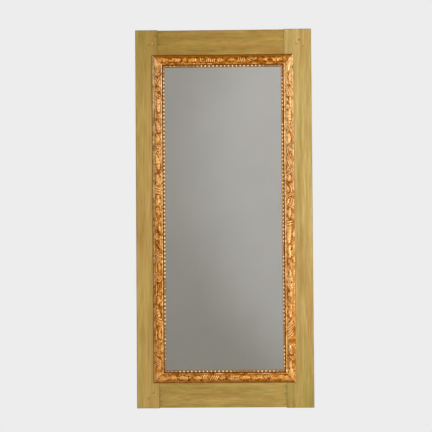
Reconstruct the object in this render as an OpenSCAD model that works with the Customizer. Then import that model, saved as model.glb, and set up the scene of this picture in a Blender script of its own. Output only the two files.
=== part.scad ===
// Tall rectangular wall mirror. Four painted boards make a flat frame, a carved and gilded
// moulding is laid round its opening with a string of beads at the sight edge, and the mirror
// plate lies behind them, wedged from the back and covered by three planks.
// X runs across, Z up, the front faces -Y and the wall is the plane y = 0.

/* [Boards] */
// Width over both stiles
frame_w = 700; // [620:5:820]
// Height of the stiles
frame_h = 1500; // [1200:10:1800]
// Thickness of the stiles and rails
board_t = 22; // [20:1:30]
// Width of the left stile
left_stile_w = 89; // [84:1:104]
// Width of the right stile
right_stile_w = 109; // [96:1:112]
// Width of the top rail
top_rail_w = 123; // [116:1:140]
// Width of the bottom rail
bottom_rail_w = 122; // [114:1:136]
// How far the rails stop short of the stile ends
rail_set_in = 2; // [0.5:0.5:5]
// Radius worn on the outer front edges
front_arris = 3; // [1:0.5:5]
// Radius on the outer back edges
back_arris = 1.5; // [0.5:0.5:3]

/* [Corner joints] */
// Length of each tenon
tenon_l = 68; // [56:1:76]
// Thickness of each tenon
tenon_t = 8; // [6:1:12]
// Shoulder above and below each tenon
tenon_shoulder = 6; // [4:1:10]
// Room round and beyond a tenon in its mortise
mortise_gap = 0.2; // [0.1:0.1:0.5]
// Diameter of the wooden pegs
peg_d = 7; // [5:0.5:9]
// Room round a peg, on the radius
peg_gap = 0.05; // [0.02:0.01:0.1]
// Outer peg of a joint, measured in from the stile's end
peg_from_end = 53; // [46:1:60]
// Distance along the stile from the outer peg to the inner one
peg_step = 55; // [40:1:56]
// Outer pegs of the left stile, measured from the joint line
left_peg_in = 19; // [12:1:30]
// Outer pegs of the right stile, measured from the joint line
right_peg_in = 50; // [20:1:52]
// Inner pegs of both stiles, measured from the joint line
inner_peg_in = 15; // [10:1:20]

/* [Moulding] */
// How far the moulding lies on the left stile
left_bearing = 21.5; // [20:0.5:28]
// How far the moulding lies on the right stile
right_bearing = 36.5; // [30:0.5:40]
// How far the moulding lies on each rail
rail_bearing = 24; // [22:0.5:30]
// Width of the moulding from its outer side to the beads
moulding_w = 38.5; // [36:0.5:46]
// Height of the carved roll above the boards
roll_h = 17; // [14:0.5:20]
// Height at which the roll springs from its quirks
roll_foot_h = 5.5; // [4:0.5:6.5]
// Width of the rounded band along the outer side
outer_band_w = 6; // [5:0.5:10]
// Height of the outer band where it meets the quirk
outer_band_h = 7.5; // [7:0.5:10]
// Thickness of the band's outer edge
band_edge_h = 2; // [1:0.5:3]
// Width of the raised lip along the inner side
inner_lip_w = 4.2; // [3.5:0.1:6.5]
// Height of the inner lip
inner_lip_h = 10.5; // [8.5:0.5:12]
// Width of the sunk line beside the roll
quirk_w = 1; // [0.8:0.1:2]

/* [Carving] */
// Least length of one leaf with its bud and flutes
motif_l = 72; // [60:1:90]
// Length of the strap in the middle of each side
strap_work_l = 26; // [24:1:40]
// Length of the leaf on each mitre
corner_leaf_l = 48; // [40:1:60]
// Distance from vein to vein along a leaf
vein_step = 11.5; // [9:0.5:14]
// Width of a vein at the surface of the roll
vein_w = 5.5; // [4:0.5:6.5]
// Depth of the veins
vein_depth = 2.2; // [1:0.1:2.6]
// Radius of the gouge that cuts the flutes
flute_r = 1.8; // [1.2:0.1:2]
// Depth of the flutes
flute_depth = 1.3; // [0.6:0.1:1.6]
// Flutes beside each bud
flutes = 3; // [2:1:3]
// Radius of a bud
bud_r = 4.4; // [3.4:0.1:4.8]
// Depth of the waist that a bud sits in
waist_depth = 3; // [1.5:0.1:4]

/* [Beads] */
// Width of the strip that carries the beads
bead_strip_w = 10.5; // [9:0.5:13]
// Thickness of the strip under the beads
bead_strip_t = 3; // [2:0.5:4]
// Thickness of the strip in the groove beside the moulding
groove_t = 1; // [0.5:0.1:1.5]
// Diameter of a bead
bead_d = 7.8; // [6:0.1:9]
// Height of a bead's centre over the back of the strip
bead_rise = 2.8; // [1.8:0.1:4]
// Distance from bead to bead
bead_pitch = 15.4; // [11:0.1:20]

/* [Plate] */
// Thickness of the mirror glass
glass_t = 4; // [3:0.5:6]
// Room between the glass and the boards round it
glass_room = 1; // [0.5:0.5:2]
// Thickness of the silvering with its paint
silver_t = 0.3; // [0.2:0.05:0.5]
// Bare margin of the glass round the silvering
silver_margin = 1.5; // [0.5:0.5:4]
// Air line between the glass and its silvering
silver_gap = 0.05; // [0.02:0.01:0.1]
// Length of a wedge that holds the plate
wedge_l = 55; // [35:5:75]
// Width of a wedge on the plate
wedge_w = 12; // [8:1:15]
// Wedges along each stile
side_wedges = 5; // [3:1:7]
// Wedges along each rail
rail_wedges = 3; // [2:1:4]
// Room left between the wedges and the planks
wedge_room = 2; // [1:0.5:4]

/* [Planked back] */
// Thickness of the back planks
plank_t = 6; // [5:0.5:9]
// How far the planks lap onto the boards
plank_lap = 18; // [14:1:22]
// Gap between neighbouring planks
plank_gap = 0.8; // [0.4:0.2:2]
// How far a plank's tongue reaches past its edge, under the next plank
tongue_l = 6; // [4:0.5:8]
// Room between a tongue and the plank over it
tongue_room = 0.2; // [0.1:0.1:0.4]
// Bevel on the planks' long edges
plank_bevel = 1; // [0.5:0.1:1.5]
// Diameter of a plank screw's head
plank_screw_head_d = 6.8; // [5.6:0.2:8]
// Diameter of a plank screw's shank
plank_screw_d = 3.4; // [2.6:0.2:4]
// Length of a plank screw
plank_screw_l = 19; // [14:1:21]
// How deep the plank screw heads are sunk
plank_screw_sink = 0.2; // [0.1:0.1:0.6]
// Screws of a plank in from its long edges, at the rails
plank_screw_in = 25; // [15:1:40]
// Screws along each stile
stile_screws = 5; // [3:1:8]
// Room round the screws, on the radius
screw_gap = 0.05; // [0.02:0.01:0.1]

/* [Hangers] */
// Height of the rings' hinge line over the middle
hanger_z = 450; // [300:10:520]
// Hangers in from the outer edges
hanger_in = 36; // [28:1:44]
// Width of the strap
strap_w = 14; // [12:0.5:16]
// Thickness of the strap
strap_t = 1; // [0.8:0.1:1.4]
// Length of the strap below the hinge line
strap_l = 52; // [46:1:70]
// Radius of the eye rolled round the ring
eye_r = 2.7; // [2.5:0.1:2.9]
// Diameter of the ring's wire
ring_wire_d = 3.2; // [2.6:0.1:3.4]
// Room round the wire in the eye, on the radius
eye_gap = 0.08; // [0.04:0.01:0.1]
// Half the ring's width, to the middle of the wire
ring_half_w = 11; // [10.5:0.5:14]
// Bend where the bar turns into the ring's sides
ring_bend = 3.2; // [2.8:0.1:3.4]
// Straight length of the ring's sides
ring_side_l = 2; // [1:0.5:5]
// First hanger screw below the hinge line
strap_screw_z = 28; // [26:1:30]
// Distance between the two screws of a strap
strap_screw_step = 16; // [12:1:18]
// Diameter of a hanger screw's round head
strap_screw_head_d = 7; // [6:0.2:8]
// Height of a hanger screw's round head
strap_screw_head_h = 1.9; // [1.4:0.1:2.4]
// Diameter of a hanger screw's shank
strap_screw_d = 3.5; // [2.8:0.1:4]
// Length of a hanger screw under its head
strap_screw_l = 14; // [10:1:16]
// Width of the slot in every screw head
slot_w = 0.9; // [0.6:0.1:1.1]
// Depth of the slot in every screw head
slot_depth = 0.8; // [0.5:0.1:1]

/* [Hidden] */
$fn = 48;

board_back_y = -plank_t;
board_front_y = board_back_y - board_t;

// Outer limits of the frame and of its rails
frame_x = frame_w / 2;
frame_z = frame_h / 2;
top_rail_z1 = frame_z - rail_set_in;
top_rail_z0 = top_rail_z1 - top_rail_w;
bottom_rail_z0 = -frame_z + rail_set_in;
bottom_rail_z1 = bottom_rail_z0 + bottom_rail_w;

// Opening between the boards: [x low, x high, z low, z high]
opening = [left_stile_w - frame_x, frame_x - right_stile_w, bottom_rail_z1, top_rail_z0];
// Outer and inner outlines of the moulding
moulding_out = [opening[0] - left_bearing, opening[1] + right_bearing,
    opening[2] - rail_bearing, opening[3] + rail_bearing];
moulding_in = inset(moulding_out, moulding_w);
// The roll: its place across the moulding and the radius that fits its width and height
roll_half = (moulding_w - inner_lip_w - outer_band_w - 2 * quirk_w) / 2;
roll_mid = outer_band_w + quirk_w + roll_half;
roll_rise = roll_h - roll_foot_h;
roll_r = (roll_half * roll_half + roll_rise * roll_rise) / (2 * roll_rise);
// The carving: turn and slant of the veins; turn, spread and dive of the corner cuts and their depth
// half way along the leaf; waist of a bud and distance from flute to flute
vein_turn = 34;
vein_slant = 42;
corner_turn = 20;
corner_spread = 5;
corner_dive = 3.6;
corner_depth = 1.5;
waist_r = 1.5 * bud_r;
flute_step = 2.2 * flute_r;
// Plate and planks
glass = inset(opening, glass_room);
silver = inset(glass, silver_margin);
planked = inset(opening, -plank_lap);

glass_back_y = board_front_y + glass_t;
silver_front_y = glass_back_y + silver_gap;
silver_back_y = silver_front_y + silver_t;

plank_w = (planked[1] - planked[0] - 2 * plank_gap) / 3;
plank_x = [for (i = [0:2]) planked[0] + i * (plank_w + plank_gap)];

// Places of the pegs in the left and the right stile: [x, z]
outer_peg_z = frame_z - peg_from_end;
inner_peg_z = outer_peg_z - peg_step;
left_pegs = [for (end = [-1, 1]) each [
    [opening[0] - left_peg_in, end * outer_peg_z], [opening[0] - inner_peg_in, end * inner_peg_z]]];
right_pegs = [for (end = [-1, 1]) each [
    [opening[1] + right_peg_in, end * outer_peg_z], [opening[1] + inner_peg_in, end * inner_peg_z]]];

// Screws of the planks: along the stiles, and two to each plank at each rail
stile_screw_span = opening[3] - opening[2] - 2 * plank_screw_in;
stile_screw_z = [for (i = [0:stile_screws - 1])
    opening[2] + plank_screw_in + stile_screw_span * (i + 0.5) / stile_screws];
stile_screw_x = [opening[0] - plank_lap / 2, opening[1] + plank_lap / 2];
rail_screw_z = [opening[2] - plank_lap / 2, opening[3] + plank_lap / 2];
rail_screw_x = [for (x = plank_x, at = [plank_screw_in, plank_w - plank_screw_in]) x + at];

ring_y = board_back_y + strap_t + 0.2 + ring_wire_d / 2;
hanger_x = frame_x - hanger_in;
strap_screws = [for (i = [0:1]) hanger_z - strap_screw_z - i * strap_screw_step];
plank_screw_head_h = (plank_screw_head_d - plank_screw_d) / 2 + 0.3;

painted = [0.69, 0.56, 0.32];
gilt = [0.85, 0.6, 0.28];
raw_wood = [0.55, 0.42, 0.28];
brass = [0.68, 0.52, 0.26];
steel = [0.5, 0.5, 0.5];

// Outline drawn in by d on every side
function inset(r, d) = [r[0] + d, r[1] - d, r[2] + d, r[3] - d];
// Points of an arc from angle a to angle b
function arc(cx, cy, r, a, b, n) =
    [for (i = [0:n]) let (t = a + (b - a) * i / n) [cx + r * cos(t), cy + r * sin(t)]];
// One corner of an outline, rounded to r or left sharp where r is 0
function corner(cx, cy, sx, sy, r, a) =
    r <= 0 ? [[cx, cy]] : arc(cx - sx * r, cy - sy * r, r, a, a + 90, 6);
// Outline of a board's section with its own radius at each corner, starting at the low corner
function section(x0, x1, y0, y1, r) = concat(
    corner(x0, y0, -1, -1, r[0], 180), corner(x1, y0, 1, -1, r[1], 270),
    corner(x1, y1, 1, 1, r[2], 0), corner(x0, y1, -1, 1, r[3], 90));

// Stretches a section along Z or along X
module along_z(z0, z1) translate([0, 0, z0]) linear_extrude(z1 - z0) children();
module along_x(x0, x1) translate([x0, 0, 0]) rotate([90, 0, 90]) linear_extrude(x1 - x0) children();
// A block between two corners
module block(x, y, z) translate([x[0], y[0], z[0]]) cube([x[1] - x[0], y[1] - y[0], z[1] - z[0]]);

// Stile between x0 and x1; outer is -1 where its outer edge is on the low side
module stile_blank(x0, x1, outer) {
    low = outer < 0 ? 1 : 0;
    high = 1 - low;
    intersection() {
        along_z(-frame_z, frame_z) polygon(section(x0, x1, board_front_y, board_back_y,
            [low * front_arris, high * front_arris, high * back_arris, low * back_arris]));
        along_x(x0 - 1, x1 + 1) polygon(section(board_front_y, board_back_y, -frame_z, frame_z,
            [front_arris, back_arris, back_arris, front_arris]));
    }
}

// Room or wood of a tenon on the rail between z0 and z1, grown by gap
module tenon(joint_x, side, z0, z1, gap) {
    middle_y = (board_front_y + board_back_y) / 2;
    half_t = tenon_t / 2 + gap;
    reach = tenon_l + gap;
    root = gap > 0 ? 1 : 0;
    block(side > 0 ? [joint_x - root, joint_x + reach] : [joint_x - reach, joint_x + root],
        [middle_y - half_t, middle_y + half_t],
        [z0 + tenon_shoulder - gap, z1 - tenon_shoulder + gap]);
}

// Hole of a peg, through the whole thickness
module peg_hole(x, z)
    translate([x, board_back_y + 1, z]) rotate([90, 0, 0])
        cylinder(d = peg_d + 2 * peg_gap, h = board_t + 2);

// Stile between x0 and x1, with its mortises, peg holes and screw holes
module stile(x0, x1, side) {
    joint_x = side < 0 ? x1 : x0;
    color(painted) difference() {
        stile_blank(x0, x1, side);
        tenon(joint_x, side, bottom_rail_z0, bottom_rail_z1, mortise_gap);
        tenon(joint_x, side, top_rail_z0, top_rail_z1, mortise_gap);
        for (at = side < 0 ? left_pegs : right_pegs) peg_hole(at[0], at[1]);
        for (z = stile_screw_z) plank_screw_at(side < 0 ? stile_screw_x[0] : stile_screw_x[1], z, screw_gap);
        for (z = strap_screws) strap_screw_at(side * hanger_x, z, screw_gap);
    }
}

// Rail between the stiles from z0 to z1; radii are those of its section
module rail(z0, z1, radii) {
    color(painted) difference() {
        union() {
            along_x(opening[0], opening[1])
                polygon(section(board_front_y, board_back_y, z0, z1, radii));
            tenon(opening[0], -1, z0, z1, 0);
            tenon(opening[1], 1, z0, z1, 0);
        }
        for (at = concat(left_pegs, right_pegs)) if (at[1] > z0 && at[1] < z1) peg_hole(at[0], at[1]);
        for (x = rail_screw_x, z = rail_screw_z) if (z > z0 && z < z1) plank_screw_at(x, z, screw_gap);
    }
}

module top_rail() rail(top_rail_z0, top_rail_z1, [0, 0, back_arris, front_arris]);
module bottom_rail() rail(bottom_rail_z0, bottom_rail_z1, [front_arris, back_arris, 0, 0]);

// Half outline of a countersunk screw, from its head down
function sunk_outline(grow) = let (r = plank_screw_d / 2 + grow, head = plank_screw_head_d / 2 + grow)
    [[0, 0], [head, 0], [head, -0.3], [r, -plank_screw_head_h], [r, -plank_screw_l], [0, -plank_screw_l]];
// Half outline of a round-headed screw, from the crown of its head down
function round_outline(grow) =
    let (head = strap_screw_head_d / 2, r = strap_screw_d / 2 + grow, h = strap_screw_head_h)
    concat([for (i = [0:6]) let (t = 90 - 15 * i) [head * cos(t) + (i == 0 ? 0 : grow), h * sin(t)]],
        [[r, 0], [r, -strap_screw_l], [0, -strap_screw_l]]);

// A screw's place: head towards the wall, shank towards the front
module facing_wall(x, y, z) translate([x, y, z]) rotate([-90, 0, 0]) children();

// Screw through a plank, or with grow over 0 the hole for it
module plank_screw_at(x, z, grow) {
    facing_wall(x, -plank_screw_sink, z) difference() {
        union() {
            rotate_extrude() polygon(sunk_outline(grow));
            if (grow > 0) cylinder(d = plank_screw_head_d + 2 * grow, h = plank_screw_sink + 1);
        }
        if (grow == 0) screw_slot(plank_screw_head_d, 0);
    }
}

// Screw through a strap, or with grow over 0 the hole for its shank
module strap_screw_at(x, z, grow) {
    facing_wall(x, board_back_y + strap_t, z) difference() {
        if (grow > 0) translate([0, 0, -strap_screw_l])
            cylinder(d = strap_screw_d + 2 * grow, h = strap_screw_l + 1);
        else rotate_extrude() polygon(round_outline(0));
        if (grow == 0) screw_slot(strap_screw_head_d, strap_screw_head_h);
    }
}

module screw_slot(across, top)
    translate([-across / 2 - 1, -slot_w / 2, top - slot_depth]) cube([across + 2, slot_w, slot_depth + 1]);

// Section of the moulding under its roll: [distance in from its outer side, height over the boards]
function bed_profile() = let (band = outer_band_h - band_edge_h, lip = moulding_w - inner_lip_w)
    concat(
        [[0, 0]],
        [for (i = [0:6]) let (t = 90 * i / 6) [outer_band_w * (1 - cos(t)), band_edge_h + band * sin(t)]],
        [[outer_band_w, roll_foot_h], [lip, roll_foot_h], [lip, inner_lip_h - 1], [lip + 1, inner_lip_h],
         [moulding_w - 1, inner_lip_h], [moulding_w, inner_lip_h - 1], [moulding_w, 0]]);
// Section of the bead strip: a groove beside the moulding, then the bed of the beads
function strip_profile() = let (bed = bead_strip_w - bead_d - 0.2)
    [[0, 0], [0, groove_t], [bed, groove_t], [bed + 0.6, bead_strip_t], [bead_strip_w - 0.6, bead_strip_t],
     [bead_strip_w, bead_strip_t - 0.6], [bead_strip_w, 0]];

// Room of one mitred length along X, its outer side at z = 0 and its inner side at z = -width
module mitre(length, width)
    translate([0, 1, 0]) rotate([90, 0, 0]) linear_extrude(100)
        polygon([[-length / 2, 0], [length / 2, 0],
            [length / 2 - width, -width], [width - length / 2, -width]]);

// Places a length on one side of an outline: 0 top, 1 left, 2 bottom, 3 right
module on_side(outline, side) {
    mid_x = (outline[0] + outline[1]) / 2;
    mid_z = (outline[2] + outline[3]) / 2;
    at = [[mid_x, outline[3]], [outline[0], mid_z], [mid_x, outline[2]], [outline[1], mid_z]][side];
    translate([at[0], board_front_y, at[1]]) rotate([0, -90 * side, 0]) children();
}

function side_length(outline, side) = side % 2 == 0 ? outline[1] - outline[0] : outline[3] - outline[2];

// Lays a section's [distance in, height] out so that it can be stretched along X
function laid(profile) = [for (p = profile) [-p[1], -p[0]]];

// A place on the roll at s along it, turned round it from its crown, so much under its surface
module on_roll(s, around, depth)
    translate([s, 0, 0]) rotate([around, 0, 0]) translate([0, depth - roll_r, 0]) children();

// V cut of a blade along X, with its bottom at y = 0 and its open side towards -Y
module blade(length)
    translate([-length / 2, 0, 0]) rotate([90, 0, 90]) linear_extrude(length)
        polygon([[0, 0], [-2 * vein_depth, -vein_w], [-2 * vein_depth, vein_w]]);

// A groove all round the roll
module ring(s, r, depth)
    translate([s, 0, 0]) rotate([0, 90, 0])
        rotate_extrude() translate([roll_r + r - depth, 0]) circle(r = r);

// Cuts of one motif that starts at s and points along way: a veined leaf, the waist of a bud, flutes
module motif_cuts(s, way, leaf_l) {
    count = floor(leaf_l / vein_step);
    for (k = [0:count - 1], flank = [-1, 1])
        on_roll(s + way * leaf_l * (k + 0.5) / count, flank * vein_turn, vein_depth)
            rotate([0, way * flank * vein_slant, 0]) blade(2 * roll_r);
    ring(s + way * (leaf_l + waist_r), waist_r, waist_depth);
    for (k = [0:flutes - 1])
        ring(s + way * (leaf_l + 2 * waist_r + flute_step * (k + 0.5)), flute_r, flute_depth);
}

// Cuts of the leaf on the mitre at one end, which fan out and deepen from its tip to the corner
module corner_cuts(run, end) {
    reach = corner_leaf_l / 2 + roll_mid;
    for (k = [-2:2])
        on_roll(end * (run / 2 - reach), corner_turn * k, corner_depth)
            rotate([0, end * corner_spread * k, end * corner_dive]) blade(2 * reach);
}

// The roll of one side, along X round its own axis: a crossed strap in the middle, from which the
// motifs run both ways, and a leaf on each mitre
module carved_roll(run) {
    room = run / 2 - roll_mid - corner_leaf_l - strap_work_l / 2;
    count = floor(room / motif_l);
    leaf_l = room / count - 2 * waist_r - flutes * flute_step;
    starts = [for (i = [0:count - 1]) strap_work_l / 2 + i * room / count];
    difference() {
        rotate([0, 90, 0]) cylinder(r = roll_r, h = run, center = true);
        for (slant = [-1, 1]) on_roll(0, 0, vein_depth) rotate([0, slant * vein_slant, 0]) blade(2 * roll_r);
        for (way = [-1, 1]) {
            ring(way * (strap_work_l / 2 - flute_r), flute_r, flute_depth);
            for (s = starts) motif_cuts(way * s, way, leaf_l);
            corner_cuts(run, way);
        }
    }
    for (way = [-1, 1], s = starts) on_roll(way * (s + leaf_l + waist_r), 0, bud_r) sphere(r = bud_r);
}

module moulding(side) {
    run = side_length(moulding_out, side);
    color(gilt) on_side(moulding_out, side) intersection() {
        union() {
            translate([-run / 2, 0, 0]) rotate([90, 0, 90]) linear_extrude(run) polygon(laid(bed_profile()));
            intersection() {
                translate([0, roll_r - roll_h, -roll_mid]) carved_roll(run);
                block([-run / 2, run / 2], [-roll_h, -roll_foot_h],
                    [quirk_w + inner_lip_w - moulding_w, -outer_band_w - quirk_w]);
            }
        }
        mitre(run, moulding_w);
    }
}

// Strip with a row of beads that stops clear of both mitres. Each bead has a pole at its crown
module beads(side) {
    run = side_length(moulding_in, side);
    row = run - 2 * bead_strip_w;
    count = floor(row / bead_pitch);
    color(gilt) on_side(moulding_in, side) difference() {
        union() {
            intersection() {
                translate([-run / 2, 0, 0]) rotate([90, 0, 90]) linear_extrude(run)
                    polygon(laid(strip_profile()));
                mitre(run, bead_strip_w);
            }
            for (i = [0:count - 1])
                translate([(i - (count - 1) / 2) * bead_pitch, -bead_rise, bead_d / 2 + 0.1 - bead_strip_w])
                    rotate([90, 0, 0]) sphere(d = bead_d);
        }
        block([-run / 2, run / 2], [0, bead_d], [-bead_strip_w, 0]);
    }
}

module corner_pegs() {
    color(raw_wood) for (at = concat(left_pegs, right_pegs))
        translate([at[0], board_back_y, at[1]]) rotate([90, 0, 0]) cylinder(d = peg_d, h = board_t);
}

module mirror_glass()
    color([0.6, 0.65, 0.63, 0.6])
        block([glass[0], glass[1]], [board_front_y, glass_back_y], [glass[2], glass[3]]);

module silver_backing()
    color([0.72, 0.72, 0.7])
        block([silver[0], silver[1]], [silver_front_y, silver_back_y], [silver[2], silver[3]]);

// Wedge against the edge of a board, run along X with the board above it
module wedge() {
    deep = board_back_y - wedge_room - silver_back_y;
    translate([-wedge_l / 2, 0, 0]) rotate([90, 0, 90]) linear_extrude(wedge_l)
        polygon([[silver_back_y, 0], [silver_back_y, -wedge_w], [silver_back_y + 2, -wedge_w],
            [silver_back_y + deep, -2], [silver_back_y + deep, 0]]);
}

module plate_wedges() {
    mid_x = (opening[0] + opening[1]) / 2;
    mid_z = (opening[2] + opening[3]) / 2;
    rail_step = (opening[1] - opening[0]) / rail_wedges;
    side_step = (opening[3] - opening[2]) / side_wedges;
    color(raw_wood) {
        for (i = [0:rail_wedges - 1]) let (x = mid_x + (i - (rail_wedges - 1) / 2) * rail_step) {
            translate([x, 0, opening[3]]) wedge();
            translate([x, 0, opening[2]]) rotate([0, 180, 0]) wedge();
        }
        for (i = [0:side_wedges - 1]) let (z = mid_z + (i - (side_wedges - 1) / 2) * side_step) {
            translate([opening[0], 0, z]) rotate([0, -90, 0]) wedge();
            translate([opening[1], 0, z]) rotate([0, 90, 0]) wedge();
        }
    }
}

// Section of back plank number i, which laps over the one before it and runs under the next
function plank_section(i) = let (
        x0 = plank_x[i], x1 = x0 + plank_w,
        over = (tongue_room - plank_t) / 2, under = (-tongue_room - plank_t) / 2)
    concat(
        [[x0, -plank_bevel], [x0 + plank_bevel, 0], [x1 - plank_bevel, 0], [x1, -plank_bevel]],
        i < 2 ? [[x1, under], [x1 + tongue_l, under], [x1 + tongue_l, -plank_t]] : [[x1, -plank_t]],
        i > 0 ? [[x0 + tongue_l, -plank_t], [x0 + tongue_l, over], [x0, over]] : [[x0, -plank_t]]);

// Back plank number i, with the holes of the screws that pass through it
module plank(i) {
    x0 = plank_x[i];
    x1 = x0 + plank_w;
    color(raw_wood) difference() {
        along_z(planked[2], planked[3]) polygon(plank_section(i));
        for (x = rail_screw_x, z = rail_screw_z) if (x > x0 && x < x1) plank_screw_at(x, z, screw_gap);
        for (x = stile_screw_x, z = stile_screw_z) if (x > x0 && x < x1) plank_screw_at(x, z, screw_gap);
    }
}

module plank_screws() {
    color(steel) {
        for (x = rail_screw_x, z = rail_screw_z) plank_screw_at(x, z, 0);
        for (x = stile_screw_x, z = stile_screw_z) plank_screw_at(x, z, 0);
    }
}

// Strap of a hanger: a plate with a round lower end and an eye rolled round the ring's bar
module hanger_strap(x) {
    half = strap_w / 2;
    outline = concat([[-half, 0]], arc(0, half - strap_l, half, 180, 360, 16), [[half, 0]]);
    color(brass) difference() {
        union() {
            translate([x, board_back_y + strap_t, hanger_z]) rotate([90, 0, 0])
                linear_extrude(strap_t) polygon(outline);
            translate([x - half, ring_y, hanger_z]) rotate([0, 90, 0]) cylinder(r = eye_r, h = strap_w);
        }
        translate([x - half - 1, ring_y, hanger_z]) rotate([0, 90, 0])
            cylinder(d = ring_wire_d + 2 * eye_gap, h = strap_w + 2);
        for (z = strap_screws) strap_screw_at(x, z, screw_gap);
    }
}

// Ring of a hanger, hanging down from its bar
module hanger_ring(x) {
    bar = ring_half_w - ring_bend;
    color(brass) translate([x, ring_y, hanger_z]) rotate([90, 0, 0]) {
        translate([-bar, 0, 0]) rotate([0, 90, 0]) cylinder(d = ring_wire_d, h = 2 * bar);
        for (side = [-1, 1]) {
            translate([side * bar, -ring_bend, 0]) rotate([0, 0, side > 0 ? 0 : 90])
                rotate_extrude(angle = 90) translate([ring_bend, 0]) circle(d = ring_wire_d);
            translate([side * ring_half_w, -ring_bend - ring_side_l, 0]) rotate([-90, 0, 0])
                cylinder(d = ring_wire_d, h = ring_side_l);
        }
        translate([0, -ring_bend - ring_side_l, 0]) rotate([0, 0, 180])
            rotate_extrude(angle = 180) translate([ring_half_w, 0]) circle(d = ring_wire_d);
    }
}

module hanger_screws() {
    color(steel) for (side = [-1, 1], z = strap_screws) strap_screw_at(side * hanger_x, z, 0);
}

stile(-frame_x, opening[0], -1);  // left_stile
stile(opening[1], frame_x, 1);  // right_stile
top_rail();
bottom_rail();
corner_pegs();
moulding(1);  // left_moulding
moulding(3);  // right_moulding
moulding(0);  // top_moulding
moulding(2);  // bottom_moulding
beads(1);  // left_beads
beads(3);  // right_beads
beads(0);  // top_beads
beads(2);  // bottom_beads
mirror_glass();
silver_backing();
plate_wedges();
plank(0);  // left_plank
plank(1);  // middle_plank
plank(2);  // right_plank
plank_screws();
hanger_strap(-hanger_x);  // left_hanger_strap
hanger_strap(hanger_x);  // right_hanger_strap
hanger_ring(-hanger_x);  // left_hanger_ring
hanger_ring(hanger_x);  // right_hanger_ring
hanger_screws();
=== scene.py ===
"""Tall wall mirror: painted boards, a carved and gilded moulding, a beaded sight edge, a planked back."""
import math

import bmesh
import bpy
import numpy as np
from mathutils import Matrix, Vector


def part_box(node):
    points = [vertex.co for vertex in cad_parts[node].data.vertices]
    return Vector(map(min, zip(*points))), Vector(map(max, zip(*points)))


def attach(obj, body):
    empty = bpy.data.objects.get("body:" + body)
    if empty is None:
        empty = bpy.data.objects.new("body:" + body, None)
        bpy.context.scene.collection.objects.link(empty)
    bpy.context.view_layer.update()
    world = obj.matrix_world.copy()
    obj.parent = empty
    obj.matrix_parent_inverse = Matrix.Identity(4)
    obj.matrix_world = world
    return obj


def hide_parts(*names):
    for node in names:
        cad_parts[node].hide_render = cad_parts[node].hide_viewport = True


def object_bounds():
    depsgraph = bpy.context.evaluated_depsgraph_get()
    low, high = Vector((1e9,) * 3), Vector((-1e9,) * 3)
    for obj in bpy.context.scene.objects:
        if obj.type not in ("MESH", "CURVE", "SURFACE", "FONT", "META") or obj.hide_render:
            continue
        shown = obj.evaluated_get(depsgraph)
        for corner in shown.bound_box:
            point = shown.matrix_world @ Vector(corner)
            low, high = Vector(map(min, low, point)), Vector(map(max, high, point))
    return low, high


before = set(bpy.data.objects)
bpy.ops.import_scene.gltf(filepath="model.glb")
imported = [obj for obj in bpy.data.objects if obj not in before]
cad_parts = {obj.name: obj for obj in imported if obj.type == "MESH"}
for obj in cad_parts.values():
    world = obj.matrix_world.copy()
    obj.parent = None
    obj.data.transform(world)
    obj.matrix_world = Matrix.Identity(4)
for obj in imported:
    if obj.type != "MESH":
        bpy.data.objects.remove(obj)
CAD_LOW, CAD_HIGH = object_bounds()

bl_info = {
    "name": "Gilded Wall Mirror",
    "version": (1, 0, 0),
    "blender": (4, 5, 0),
    "location": "View3D > Sidebar > Mirror",
    "description": "Builds a tall painted and gilded wall mirror round its solid frame",
    "category": "Add Mesh",
}

# One millimetre in metres, the body that does not move, and the sides of the frame
MM = 0.001
FRAME_BODY = "frame"
SIDES = ("top", "left", "bottom", "right")


def low(node):
    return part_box(node)[0]


def high(node):
    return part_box(node)[1]


# Planes and outlines that everything else is placed by, from the solid frame, in metres. An outline
# is its left, right, lower and upper line.
BOARD_FRONT = low("left_stile").y
BOARD_BACK = high("left_stile").y
ROLL_HEIGHT = BOARD_FRONT - low("left_moulding").y
MOULDING_OUT = (low("left_moulding").x, high("right_moulding").x,
                low("bottom_moulding").z, high("top_moulding").z)
MOULDING_IN = (low("left_beads").x, high("right_beads").x, low("bottom_beads").z, high("top_beads").z)
SIGHT = (high("left_beads").x, low("right_beads").x, high("bottom_beads").z, low("top_beads").z)
JOINT_X = (high("left_stile").x, low("right_stile").x)


def linear(red, green, blue):
    """A screen colour of 0 to 255 as scene linear values."""
    def one(v):
        v /= 255
        return v / 12.92 if v <= 0.04045 else ((v + 0.055) / 1.055) ** 2.4
    return (one(red), one(green), one(blue), 1.0)


# Settings

def length(name, description, default):
    return bpy.props.FloatProperty(name=name, description=description, default=default,
                                   unit="LENGTH", precision=5)


def angle(name, description, degrees):
    return bpy.props.FloatProperty(name=name, description=description, default=math.radians(degrees),
                                   subtype="ANGLE")


def colour(name, description, default):
    return bpy.props.FloatVectorProperty(name=name, description=description, size=4,
                                         subtype="COLOR", min=0.0, max=1.0, default=default)


def seed_number(description, default):
    return bpy.props.IntProperty(name="Seed", description=description, default=default)


class MirrorBoardSettings(bpy.types.PropertyGroup):
    """Sizes and paint of the four front boards."""
    outer_arris: length("Outer Edge", "Radius worn on the outer front edges", 3.0 * MM)
    joint_arris: length("Joint Edge", "Radius on the edges that meet at a joint", 0.7 * MM)
    unevenness: length("Unevenness", "How far the hand planed faces dip", 0.18 * MM)
    ochre: colour("Ochre", "Main colour of the paint", linear(192, 158, 84))
    olive: colour("Olive", "Greener streaks of the paint", linear(168, 147, 64))
    brown: colour("Brown", "Browner streaks of the paint", linear(178, 137, 62))
    pale: colour("Pale", "Rubbed, lightest streaks of the paint", linear(216, 188, 134))
    # The grime colour also paints the contact shadow along the moulding
    grime_and_shade: colour("Grime", "Dark dirt along edges and joints", linear(84, 68, 30))


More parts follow.
